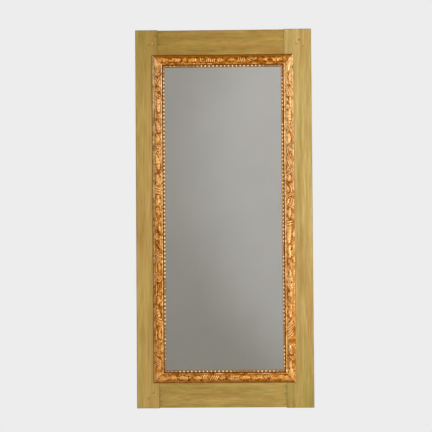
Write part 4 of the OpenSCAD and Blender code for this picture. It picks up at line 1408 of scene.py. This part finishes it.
# Sizes of whole and of worn beads, as shares of the diameter, and how far they sink in millimetres;
# the sizes' further variation, the roundness of a bead, its turn, and its room over the glass
WHOLE_SIZE = (0.93, 1.04)
WORN_SIZE = (0.3, 0.78)
WHOLE_SINK = (0, 0.35)
WORN_SINK = 1.4
SIZE_VARIATION = 0.04
BEAD_SUBDIVISIONS = 3
BEAD_SPIN = (3.1, 3.1, 3.1)
PLATE_ROOM = 0.05 * MM


def row_tree(name, *inputs):
    """A geometry node tree that sets copies on points. Returns its writer, its start and the
    identifiers of its inputs by name."""
    tree = bpy.data.node_groups.new(name, "GeometryNodeTree")
    sockets = {}
    for label, kind in (("Geometry", "Geometry"), *inputs, ("Seed", "Int"), ("Material", "Material")):
        socket = tree.interface.new_socket(name=label, in_out="INPUT", socket_type="NodeSocket" + kind)
        sockets[label] = socket.identifier
    tree.interface.new_socket(name="Geometry", in_out="OUTPUT", socket_type="NodeSocketGeometry")
    nodes = Tree(tree)
    return nodes, nodes.add("NodeGroupInput").outputs, sockets


def by_chance(nodes, start, kind, **limits):
    """A value that differs from copy to copy, from the tree's seed."""
    value = nodes.tree.nodes.new("FunctionNodeRandomValue")
    value.data_type = kind
    for key, limit in limits.items():
        nodes.put(value, key, limit)
    nodes.put(value, "Seed", start["Seed"])
    return value.outputs


def set_on_points(nodes, start, **inputs):
    """Ends a tree: sets copies on its points, makes them real and gives them their material."""
    copies = nodes.add("GeometryNodeInstanceOnPoints", Points=start["Geometry"], **inputs)
    real = nodes.add("GeometryNodeRealizeInstances", Geometry=copies.outputs["Instances"])
    coated = nodes.add("GeometryNodeSetMaterial", Geometry=real.outputs["Geometry"],
                       Material=start["Material"])
    nodes.fill(nodes.add("NodeGroupOutput"), coated.outputs["Geometry"])


def bead_tree():
    """Geometry nodes that set a worn bead on every point of a row."""
    nodes, start, sockets = row_tree("Bead Row", ("Radius", "Float"), ("Variation", "Float"))
    ball = nodes.add("GeometryNodeMeshIcoSphere", Radius=start["Radius"], Subdivisions=BEAD_SUBDIVISIONS)
    bead = nodes.add("GeometryNodeSetShadeSmooth", Geometry=ball.outputs["Mesh"])
    size = by_chance(nodes, start, "FLOAT", i2=nodes.math("SUBTRACT", 1.0, start["Variation"]),
                     i3=nodes.plus(1.0, start["Variation"]))
    worn = nodes.add("GeometryNodeInputNamedAttribute", Name="size")
    spin = by_chance(nodes, start, "FLOAT_VECTOR", i0=[-turn for turn in BEAD_SPIN], i1=BEAD_SPIN)
    set_on_points(nodes, start, Instance=bead.outputs["Geometry"], Rotation=spin[0],
                  Scale=nodes.times(size[1], worn.outputs["Attribute"]))
    return nodes.tree, sockets


def plain_mesh(name, carrier):
    """The mesh that an object's modifiers make, under a name."""
    bpy.context.view_layer.update()
    graph = bpy.context.evaluated_depsgraph_get()
    mesh = bpy.data.meshes.new_from_object(carrier.evaluated_get(graph))
    carrier.modifiers.clear()
    mesh.name = name
    return mesh


def from_nodes(name, points, tree, values, **attributes):
    """Runs a geometry node tree on loose points and returns the plain piece that it makes."""
    carrier = new_piece(name + "_points", points, [], [], smooth=False)
    set_attributes(carrier, **attributes)
    modifier = carrier.modifiers.new("Nodes", "NODES")
    modifier.node_group = tree
    for identifier, value in values.items():
        modifier[identifier] = value
    mesh = plain_mesh(name, carrier)
    bpy.data.objects.remove(carrier)
    return added(name, mesh)


def bead_strip(side):
    """The strip under the beads: a low rounded bar, worn along its edges."""
    look = bpy.context.scene.mirror_beads
    tall, bed = look.strip / MM, STRIP_WIDTH - look.diameter / MM
    section = np.array([(0, 0), (0, 0.9), (bed, 0.8), (bed + 0.3, tall - 1.0), (bed + 1, tall - 0.6),
                        ((bed + STRIP_WIDTH) / 2, tall - 1.3), (STRIP_WIDTH - 1.0, tall - 0.6),
                        (STRIP_WIDTH - 0.2, tall - 1.0), (STRIP_WIDTH, 0)])
    _, s, t = mitred(side_run(MOULDING_IN, side), section, STRIP_STEP)
    lumps = 0.22 * gilt_noise("strip", side, s, t)
    h = np.where(section[None, :, 1] > 0.5, section[None, :, 1] + lumps, 0.0)
    piece = mitred_length(side + "_bead_strip", side, MOULDING_IN, s, t, h)
    # Dirt and painted shade on the strip and on the bed under the beads, a little painted highlight along
    # the sight edge, and white ground under the beads that also paints their highlight
    wear, under_beads = WEAR_AND_SHADE[side], t >= bed + 0.4
    set_attributes(piece, hollow=np.where(under_beads, wear["bead_bed"], wear["strip"]),
                   crest=0.2 * (t > STRIP_WIDTH - 1.0), age=STRIP_AGE,
                   gesso=0.5 * wear["bead_gesso_and_highlight"] * (t > bed + 0.4))
    settle(piece, "giltwood", side + "_beads")


def bead_row(side, tree, sockets):
    """The beads of one side, whole, worn down or lost."""
    look = bpy.context.scene.mirror_beads
    pitch = look.pitch / MM
    count = int(side_run(SIGHT, side) / pitch)
    s = (np.arange(count) - (count - 1) / 2) * pitch
    seed = look.seed + SIDES.index(side)
    rough = np.random.default_rng(seed)
    size = rough.uniform(*WHOLE_SIZE, count)
    sunk = rough.uniform(*WHOLE_SINK, count)
    for first, last in BEADS_LOST[side]:
        lost = (s > first) & (s < last)
        size = np.where(lost, rough.uniform(*WORN_SIZE, count), size)
        sunk = np.where(lost, WORN_SINK, sunk)
    t = np.full(count, STRIP_WIDTH - look.inset / MM)
    points = place_on_side(MOULDING_IN, side, s, t, look.rise / MM - sunk)
    values = {sockets["Radius"]: look.diameter / 2, sockets["Variation"]: SIZE_VARIATION,
              sockets["Seed"]: seed, sockets["Material"]: gilding()}
    piece = from_nodes(side + "_bead_row", points, tree, values, size=size)
    heights = flatten_behind(piece, BOARD_FRONT - PLATE_ROOM)
    # Painted shade low on each bead, painted highlight on its top, and white ground that also paints the
    # highlight of the beads that face the light
    set_attributes(piece, hollow=0.8 * np.clip((4.2 - heights) / 3.0, 0, 1),
                   crest=np.clip((heights - 3.8) / 2.0, 0, 1), age=BEAD_AGE,
                   gesso=WEAR_AND_SHADE[side]["bead_gesso_and_highlight"])
    settle(piece, "giltwood")


def flatten_behind(piece, plane):
    """Pulls whatever lies behind a plane onto it, so that nothing reaches into the glass. Returns the
    points' heights over the boards, in millimetres."""
    points = np.zeros(len(piece.data.vertices) * 3)
    piece.data.vertices.foreach_get("co", points)
    points = points.reshape(-1, 3)
    points[:, 1] = np.minimum(points[:, 1], plane)
    piece.data.vertices.foreach_set("co", points.ravel())
    piece.data.update()
    return (BOARD_FRONT - points[:, 1]) / MM


class MIRROR_OT_beads(bpy.types.Operator):
    """String the beads along the sight edge"""
    bl_idname = "mirror.beads"
    bl_label = "Beads"

    def execute(self, context):
        tree, sockets = bead_tree()
        for side in SIDES:
            bead_strip(side)
            bead_row(side, tree, sockets)
        return {"FINISHED"}


# Plate and back

# Bevels of the cutter of a slot and of the silvering, and how round a bevel is
CUTTER_ARRIS = 0.05 * MM
SILVER_ARRIS = 0.05 * MM
ARRIS_SHAPE = 0.6


def faced_outward(piece):
    """Turns every face of a closed piece outwards."""
    shell = bmesh.new()
    shell.from_mesh(piece.data)
    bmesh.ops.recalc_face_normals(shell, faces=list(shell.faces))
    shell.to_mesh(piece.data)
    shell.free()
    return piece


def cut_by(piece, cutters):
    """Cuts the cutters out of a piece and removes them."""
    for cutter in cutters:
        modifier = piece.modifiers.new("Cut", "BOOLEAN")
        modifier.operation, modifier.solver, modifier.object = "DIFFERENCE", "EXACT", cutter
    piece.data = plain_mesh(piece.name, piece)
    for cutter in cutters:
        bpy.data.objects.remove(cutter)
    return piece


def softened_box(name, lo, hi, arris, material):
    """A box with bevelled edges."""
    shell = bmesh.new()
    size, middle = Vector(hi) - Vector(lo), (Vector(hi) + Vector(lo)) / 2
    bmesh.ops.create_cube(shell, size=1.0,
                          matrix=Matrix.Translation(middle) @ Matrix.Diagonal((*size, 1.0)))
    bmesh.ops.bevel(shell, geom=list(shell.edges), offset=arris, segments=2, affect="EDGES",
                    profile=ARRIS_SHAPE)
    mesh = bpy.data.meshes.new(name)
    shell.to_mesh(mesh)
    shell.free()
    mesh.materials.append(material)
    return added(name, mesh)


class MIRROR_OT_plate(bpy.types.Operator):
    """Set the glass and its silvering"""
    bl_idname = "mirror.plate"
    bl_label = "Mirror Plate"

    def execute(self, context):
        look = context.scene.mirror_plate
        glass = softened_box("plate_glass", *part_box("mirror_glass"), look.arris,
                             finish("plate_glass", glass_material))
        settle(glass, "glass", "mirror_glass")
        silver = softened_box("plate_silvering", *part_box("silver_backing"), SILVER_ARRIS,
                              finish("old_silvering", silver_material))
        settle(silver, "silvering", "silver_backing")
        return {"FINISHED"}


# How much of each plank and of the wedges is dark
PLANK_DARK = {"left_plank": 0.35, "middle_plank": 0.15, "right_plank": 0.5}
WEDGE_DARK = 0.2


class MIRROR_OT_back(bpy.types.Operator):
    """Dress the planks, wedges, screws and hangers of the back"""
    bl_idname = "mirror.back"
    bl_label = "Planked Back"

    def execute(self, context):
        for name, dark in PLANK_DARK.items():
            coat(name, finish(name + "_wood", wood_material, False, dark))
        coat("plate_wedges", finish("wedge_wood", wood_material, True, WEDGE_DARK))
        tree, sockets = screw_tree()
        screws("plank_screws", False, tree, sockets)
        screws("hanger_screws", True, tree, sockets)
        for side in ("left", "right"):
            hanger_strap(side)
            hanger_ring(side)
        return {"FINISHED"}


# Sides of a turned piece
TURNED_SIDES = 20


def circle(count):
    """Angles of points evenly round a circle."""
    return np.arange(count) * 2 * math.pi / count


def turned(name, profile, material):
    """A closed turned piece about Y from its half outline of radius and height, in millimetres."""
    turn = circle(TURNED_SIDES)
    rings = [np.stack([r * np.cos(turn), 0 * turn + h, r * np.sin(turn)], 1) for r, h in profile]
    index = np.arange(len(profile) * TURNED_SIDES).reshape(len(profile), TURNED_SIDES)
    around = np.roll(index, -1, 1)
    quads = np.stack([index[:-1], around[:-1], around[1:], index[1:]], -1).reshape(-1, 4)
    faces = [tuple(q) for q in quads] + [tuple(index[0]), tuple(index[-1][::-1])]
    return faced_outward(new_piece(name, np.concatenate(rings) * MM, faces, [material]))


# Radius of a screw's shank and depth of its head, with a round and with a countersunk head, then the
# depths of their rims, the thread's root as a share of the shank, the head's room in its hole, and the
# lengths of the plain shank and of the point, in millimetres
ROUND_HEAD = (1.72, 1.9)
SUNK_HEAD = (1.66, 2.0)
ROUND_RIM = 1.88
SUNK_RIM = (0.08, 0.28)
THREAD_ROOT = 0.78
HEAD_ROOM = 0.03
SHANK_PLAIN = 3.0
POINT_LENGTH = 4.0
# Half the length of the block that cuts a slot
CUTTER_REACH = 5 * MM


def screw_profile(head, size, round_head):
    """Half outline of a screw from its crown to its point: radius and height, in millimetres."""
    thread = bpy.context.scene.mirror_back.thread / MM
    shank, neck = ROUND_HEAD if round_head else SUNK_HEAD
    if round_head:
        profile = [(head * math.cos(a), neck * (math.sin(a) - 1)) for a in np.linspace(1.5, 0.05, 8)]
        profile += [(head, -ROUND_RIM), (shank, -neck)]
    else:
        profile = [(head - 0.15, 0.0), *((head, -depth) for depth in SUNK_RIM), (shank, -neck)]
    h, root = -neck - SHANK_PLAIN, shank * THREAD_ROOT
    profile.append((shank, h))
    while h > -size + POINT_LENGTH:
        profile += [(root, h - thread * 0.3), (root, h - thread * 0.6), (shank, h - thread * 0.85)]
        h -= thread
    return profile + [(shank * 0.75, h - 0.6), (0.25, -size + 0.1)]


def screw(name, lo, hi, round_head):
    """One slotted wood screw with its head towards the wall and its crown in the origin."""
    look = bpy.context.scene.mirror_back
    head, size = (hi.x - lo.x) / 2 / MM - HEAD_ROOM, (hi.y - lo.y) / MM
    body = turned(name + "_template", screw_profile(head, size, round_head), steel())
    wide, deep = look.slot_width / 2, look.slot_depth
    slot = softened_box("slot_cutter", (-CUTTER_REACH, -deep, -wide), (CUTTER_REACH, MM, wide),
                        CUTTER_ARRIS, steel())
    return cut_by(body, [slot])


# Corners closer to each other than this belong to one screw
SCREW_REACH = 8 * MM


def places_of(node):
    """The box of each screw of a node, from its corners, which lie in groups."""
    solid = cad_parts[node]
    points = np.array([tuple(solid.matrix_world @ vertex.co) for vertex in solid.data.vertices])
    groups = []
    for point in points:
        for group in groups:
            if math.hypot(point[0] - group[0][0], point[2] - group[0][2]) < SCREW_REACH:
                group.append(point)
                break
        else:
            groups.append([point])
    return [(Vector(np.min(group, 0)), Vector(np.max(group, 0))) for group in groups]


def screw_tree():
    """Geometry nodes that set a screw on every point, each turned by chance."""
    nodes, start, sockets = row_tree("Screw Row", ("Screw", "Object"))
    template = nodes.add("GeometryNodeObjectInfo", Object=start["Screw"])
    turn = by_chance(nodes, start, "FLOAT", i3=math.pi)
    spin = nodes.add("ShaderNodeCombineXYZ", Y=turn[1])
    set_on_points(nodes, start, Instance=template.outputs["Geometry"], Rotation=spin.outputs[0])
    return nodes.tree, sockets


def screws(node, round_head, tree, sockets):
    """The screws of one node, each in the place of its solid."""
    look = bpy.context.scene.mirror_back
    places = places_of(node)
    template = screw(node, *places[0], round_head)
    points = [((lo.x + hi.x) / 2, hi.y, (lo.z + hi.z) / 2) for lo, hi in places]
    values = {sockets["Screw"]: template, sockets["Seed"]: look.seed, sockets["Material"]: steel()}
    piece = from_nodes(node + "_slotted", points, tree, values)
    bpy.data.objects.remove(template)
    settle(piece, "steel", node)


# Sheet of the straps: how far its edges and its lower end are thinned, where its upper rows start, how
# far under the ring's bar the flat part ends, the turn of the eye in degrees, the counts of columns and
# rows, and the radius and half length of the cutters of the screw holes, in millimetres
SIDE_EASE = 0.14 * MM
END_EASE = 0.2 * MM
FIRST_ROW = 0.8 * MM
EYE_START = 1.6 * MM
EYE_TURN = (180, -128)
STRAP_COLUMNS, STRAP_ROWS, EYE_ROWS = 27, 12, 34
HOLE_RADIUS, HOLE_REACH = 1.8, 3


def hanger_strap(side):
    """A strap of sheet brass with a round lower end, rolled into an eye round the ring's bar."""
    look = bpy.context.scene.mirror_back
    lo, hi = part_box(side + "_hanger_strap")
    ring_lo, ring_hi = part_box(side + "_hanger_ring")
    wire, middle = (ring_hi.y - ring_lo.y) / 2, (lo.x + hi.x) / 2
    axis_y, axis_z = (ring_lo.y + ring_hi.y) / 2, ring_hi.z - wire
    outer, inner, half = hi.z - axis_z, wire + look.eye_gap, (hi.x - lo.x) / 2
    across_strap = half * np.sin(np.radians(np.linspace(-90, 90, STRAP_COLUMNS)))
    tips = lo.z + half - np.sqrt(np.maximum(0, half ** 2 - across_strap ** 2))
    turn = np.radians(np.linspace(*EYE_TURN, EYE_ROWS))

    def rolled(x, radius):
        return [(middle + x, axis_y + radius * math.cos(a), axis_z + radius * math.sin(a)) for a in turn]
    sheet = []
    for x, tip in zip(across_strap, tips):
        thin = SIDE_EASE if abs(x) > half - 1e-6 else 0.0
        upper_rows = np.linspace(FIRST_ROW, axis_z - EYE_START - tip, STRAP_ROWS)
        rises = np.concatenate([[0, END_EASE], upper_rows])
        less = np.where(rises < END_EASE / 2, END_EASE, thin)
        ahead = [(middle + x, lo.y + off, tip + rise) for rise, off in zip(rises, less)]
        behind = [(middle + x, lo.y + look.strap_thickness - off, tip + rise)
                  for rise, off in zip(rises, less)]
        sheet.append(ahead + rolled(x, outer - thin) + (behind + rolled(x, inner + thin))[::-1])
    piece = faced_outward(lofted_sheet(side + "_brass_strap", np.array(sheet), brass()))
    holes = []
    for screw_lo, screw_hi in places_of("hanger_screws"):
        x, z = (screw_lo.x + screw_hi.x) / 2, (screw_lo.z + screw_hi.z) / 2
        if abs(x - middle) < half:
            hole = turned("hole_cutter", [(HOLE_RADIUS, HOLE_REACH), (HOLE_RADIUS, -HOLE_REACH)], brass())
            hole.location = (x, lo.y, z)
            holes.append(hole)
    cut_by(piece, holes)
    settle(piece, "brass", side + "_hanger_strap")


def lofted_sheet(name, grid, material):
    """A closed piece from a grid of points across by round, its two flat ends made of pairs of sides."""
    count, around = grid.shape[:2]
    index = np.arange(count * around).reshape(count, around)
    faces = tube_faces(index)
    for row in (index[0], index[-1]):
        pair = row[::-1]
        faces += [(row[i], row[i + 1], pair[i + 1], pair[i]) for i in range(around // 2 - 1)]
    return new_piece(name, grid.reshape(-1, 3), faces, [material])


# The ring's wire: its sides, and its points along the bar, one upper bend and the bow
WIRE_SIDES = 18
BAR_POINTS, BEND_POINTS, BOW_POINTS = 9, 9, 41


def hanger_ring(side):
    """A ring of bent brass wire with a straight bar, two upper bends and a round bow."""
    lo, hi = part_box(side + "_hanger_ring")
    wire, bend = (hi.y - lo.y) / 2, bpy.context.scene.mirror_back.ring_bend
    half = (hi.x - lo.x) / 2 - wire
    straight = hi.z - lo.z - 2 * wire - half - bend
    x, y, z = (lo.x + hi.x) / 2, (lo.y + hi.y) / 2, hi.z - wire
    path = [(part * (half - bend), 0.0) for part in np.linspace(-1, 1, BAR_POINTS)[:-1]]
    path += [*arc_line(half - bend, -bend, bend, 90, 0, BEND_POINTS)]
    path += [*arc_line(0, -bend - straight, half, 0, -180, BOW_POINTS)]
    path += [*arc_line(bend - half, -bend, bend, 180, 90, BEND_POINTS)[:-1]]
    centres = np.array([(x + u, y, z + v) for u, v in path])
    ahead = np.roll(centres, -1, 0) - np.roll(centres, 1, 0)
    ahead /= np.linalg.norm(ahead, axis=1)[:, None]
    back = np.array((0.0, 1.0, 0.0))
    out = np.cross(ahead, back)
    turn = circle(WIRE_SIDES)[None, :, None]
    grid = centres[:, None] + wire * (np.cos(turn) * out[:, None] + np.sin(turn) * back)
    index = np.arange(len(centres) * WIRE_SIDES).reshape(-1, WIRE_SIDES)
    after, around = np.roll(index, -1, 0), np.roll(index, -1, 1)
    faces = np.stack([index, around, np.roll(around, -1, 0), after], -1).reshape(-1, 4)
    piece = faced_outward(new_piece(side + "_wire_ring", grid.reshape(-1, 3), faces, [brass()]))
    settle(piece, "brass", side + "_hanger_ring", body=side + "_ring")


# Stage

# Lamps: name, place, aim, size, power and colour
LAMPS = [
    ("key_right", (2.8, -3.1, 0.35), (0.1, 0, 0.2), 1.3, 163, (1.0, 0.975, 0.955)),
    ("fill_left", (-3.2, -3.0, 1.8), (0, 0, 0), 1.6, 34, (0.96, 0.98, 1.0)),
]
# Floor: half its width, then its front and back edge
FLOOR_HALF, FLOOR_FRONT, FLOOR_BACK = 5, -4.9, 1.4
FLOOR_TONES = (linear(222, 222, 222), linear(228, 228, 228))
SENSOR_WIDTH = 36.0
# Air that lights the object, and how bright a mirror sees it: its middle and its slope with height,
# and the paler right part, whose edge bows with height, with its bow, the soft edge's half width and
# its gain
AIR_TONE, AIR_STRENGTH = (0.98, 0.98, 1.0, 1.0), 0.43
MIDDLE_LEVEL, LEVEL_SLOPE = 0.365, 0.42
BOW_MIDDLE, BOW, BOW_EDGE = 0.06, 2.7, -0.03
GLOW_EDGE, GLOW_GAIN = 0.045, 0.165


def area_lamp(name, place, aim, size, power, tone):
    data = bpy.data.lights.new(name, "AREA")
    data.shape = "RECTANGLE"
    data.size = data.size_y = size
    data.energy = power
    data.color = tone
    lamp = added(name, data)
    lamp.visible_camera = False
    lamp.location = place
    lamp.rotation_euler = (Vector(aim) - Vector(place)).to_track_quat("-Z", "Y").to_euler()


def studio_world(backdrop):
    """Pale studio air. The camera sees the backdrop, and reflections see it darken behind the camera."""
    world = bpy.data.worlds.new("studio")
    bpy.context.scene.world = world
    world.use_nodes = True
    world.node_tree.nodes.clear()
    tree = Tree(world.node_tree)
    across_air, depth, upward = tree.split(tree.add("ShaderNodeTexCoord").outputs["Generated"])
    bowed = tree.math("POWER", tree.math("SUBTRACT", upward, BOW_MIDDLE), 2.0)
    edge = tree.math("MULTIPLY_ADD", bowed, BOW, BOW_EDGE)
    glow = tree.spread(tree.math("SUBTRACT", across_air, edge), -GLOW_EDGE, GLOW_EDGE, 0.0, GLOW_GAIN,
                       smooth=True)
    dim = tree.math("MULTIPLY_ADD", tree.spread(upward, -0.3, 0.3, -0.3, 0.3), LEVEL_SLOPE, MIDDLE_LEVEL)
    level = tree.plus(dim, glow)
    warm = tree.colour(level, tree.times(level, 0.972), tree.math("MULTIPLY_ADD", level, 1.06, -0.06))
    room = tree.mix(tree.spread(depth, -0.5, 0.05), warm, backdrop)
    light = tree.add("ShaderNodeLightPath").outputs
    air, mirrored, seen = (tree.add("ShaderNodeBackground", Color=tone, Strength=strength).outputs[0]
                           for tone, strength in ((AIR_TONE, AIR_STRENGTH), (room, 1.0), (backdrop, 1.0)))
    clear = tree.most(light["Is Glossy Ray"], light["Is Transmission Ray"])
    first = tree.add("ShaderNodeMixShader", i0=clear, i1=air, i2=mirrored)
    second = tree.add("ShaderNodeMixShader", i0=light["Is Camera Ray"], i1=first.outputs[0], i2=seen)
    tree.add("ShaderNodeOutputWorld", Surface=second.outputs[0])


def pale_floor(level):
    """A plain pale floor under the mirror."""
    material, tree, shader, place = new_material("pale_floor")
    tree.put(shader, "Base Color", tree.mix(tree.noise(place, 2.0), *FLOOR_TONES))
    shader.inputs["Roughness"].default_value = 0.7
    shader.inputs["Specular IOR Level"].default_value = 0.2
    corners = ((-FLOOR_HALF, FLOOR_FRONT), (FLOOR_HALF, FLOOR_FRONT),
               (FLOOR_HALF, FLOOR_BACK), (-FLOOR_HALF, FLOOR_BACK))
    floor = new_piece("floor", [(x, y, level) for x, y in corners], [(0, 1, 2, 3)], [material],
                      smooth=False)


def camera(look):
    """The camera, turned and placed as the settings say."""
    data = bpy.data.cameras.new("camera")
    data.lens = look.lens
    data.sensor_width = SENSOR_WIDTH
    eye = added("camera", data)
    back = Vector((math.sin(look.right) * math.cos(look.below),
                   -math.cos(look.right) * math.cos(look.below), -math.sin(look.below)))
    eye.location = Vector((look.aim_x, 0.0, look.aim_z)) + back * look.distance
    eye.rotation_mode = "QUATERNION"
    eye.rotation_quaternion = ((-back).to_track_quat("-Z", "Y")
                               @ Matrix.Rotation(look.roll, 3, "Z").to_quaternion())
    bpy.context.scene.camera = eye


class MIRROR_OT_stage(bpy.types.Operator):
    """Set up the air, the floor, the lamps and the camera"""
    bl_idname = "mirror.stage"
    bl_label = "Stage"

    def execute(self, context):
        look = context.scene.mirror_stage
        studio_world(look.backdrop)
        pale_floor(CAD_LOW.z - look.floor_drop)
        for lamp in LAMPS:
            area_lamp(*lamp)
        camera(look)
        context.scene.view_settings.view_transform = "Standard"
        return {"FINISHED"}


OPERATORS = (MIRROR_OT_boards, MIRROR_OT_mouldings, MIRROR_OT_beads, MIRROR_OT_plate, MIRROR_OT_back,
             MIRROR_OT_stage)


class MIRROR_PT_sidebar(bpy.types.Panel):
    """The steps of the mirror, in order"""
    bl_idname = "MIRROR_PT_sidebar"
    bl_label = "Wall Mirror"
    bl_space_type = "VIEW_3D"
    bl_region_type = "UI"
    bl_category = "Mirror"

    def draw(self, context):
        column = self.layout.column(align=True)
        for operator in OPERATORS:
            column.operator(operator.bl_idname)
        for name in SETTINGS:
            box = self.layout.box()
            settings = getattr(context.scene, name)
            for key in settings.__annotations__:
                box.prop(settings, key)


def register():
    for group in SETTINGS.values():
        bpy.utils.register_class(group)
    for operator in OPERATORS:
        bpy.utils.register_class(operator)
    bpy.utils.register_class(MIRROR_PT_sidebar)
    for name, group in SETTINGS.items():
        setattr(bpy.types.Scene, name, bpy.props.PointerProperty(type=group))


def unregister():
    for name in SETTINGS:
        delattr(bpy.types.Scene, name)
    bpy.utils.unregister_class(MIRROR_PT_sidebar)
    for operator in reversed(OPERATORS):
        bpy.utils.unregister_class(operator)
    for group in reversed(list(SETTINGS.values())):
        bpy.utils.unregister_class(group)


def main():
    register()
    bpy.ops.mirror.boards()
    bpy.ops.mirror.mouldings()
    bpy.ops.mirror.beads()
    bpy.ops.mirror.plate()
    bpy.ops.mirror.back()
    bpy.ops.mirror.stage()


if __name__ == "__main__":
    main()
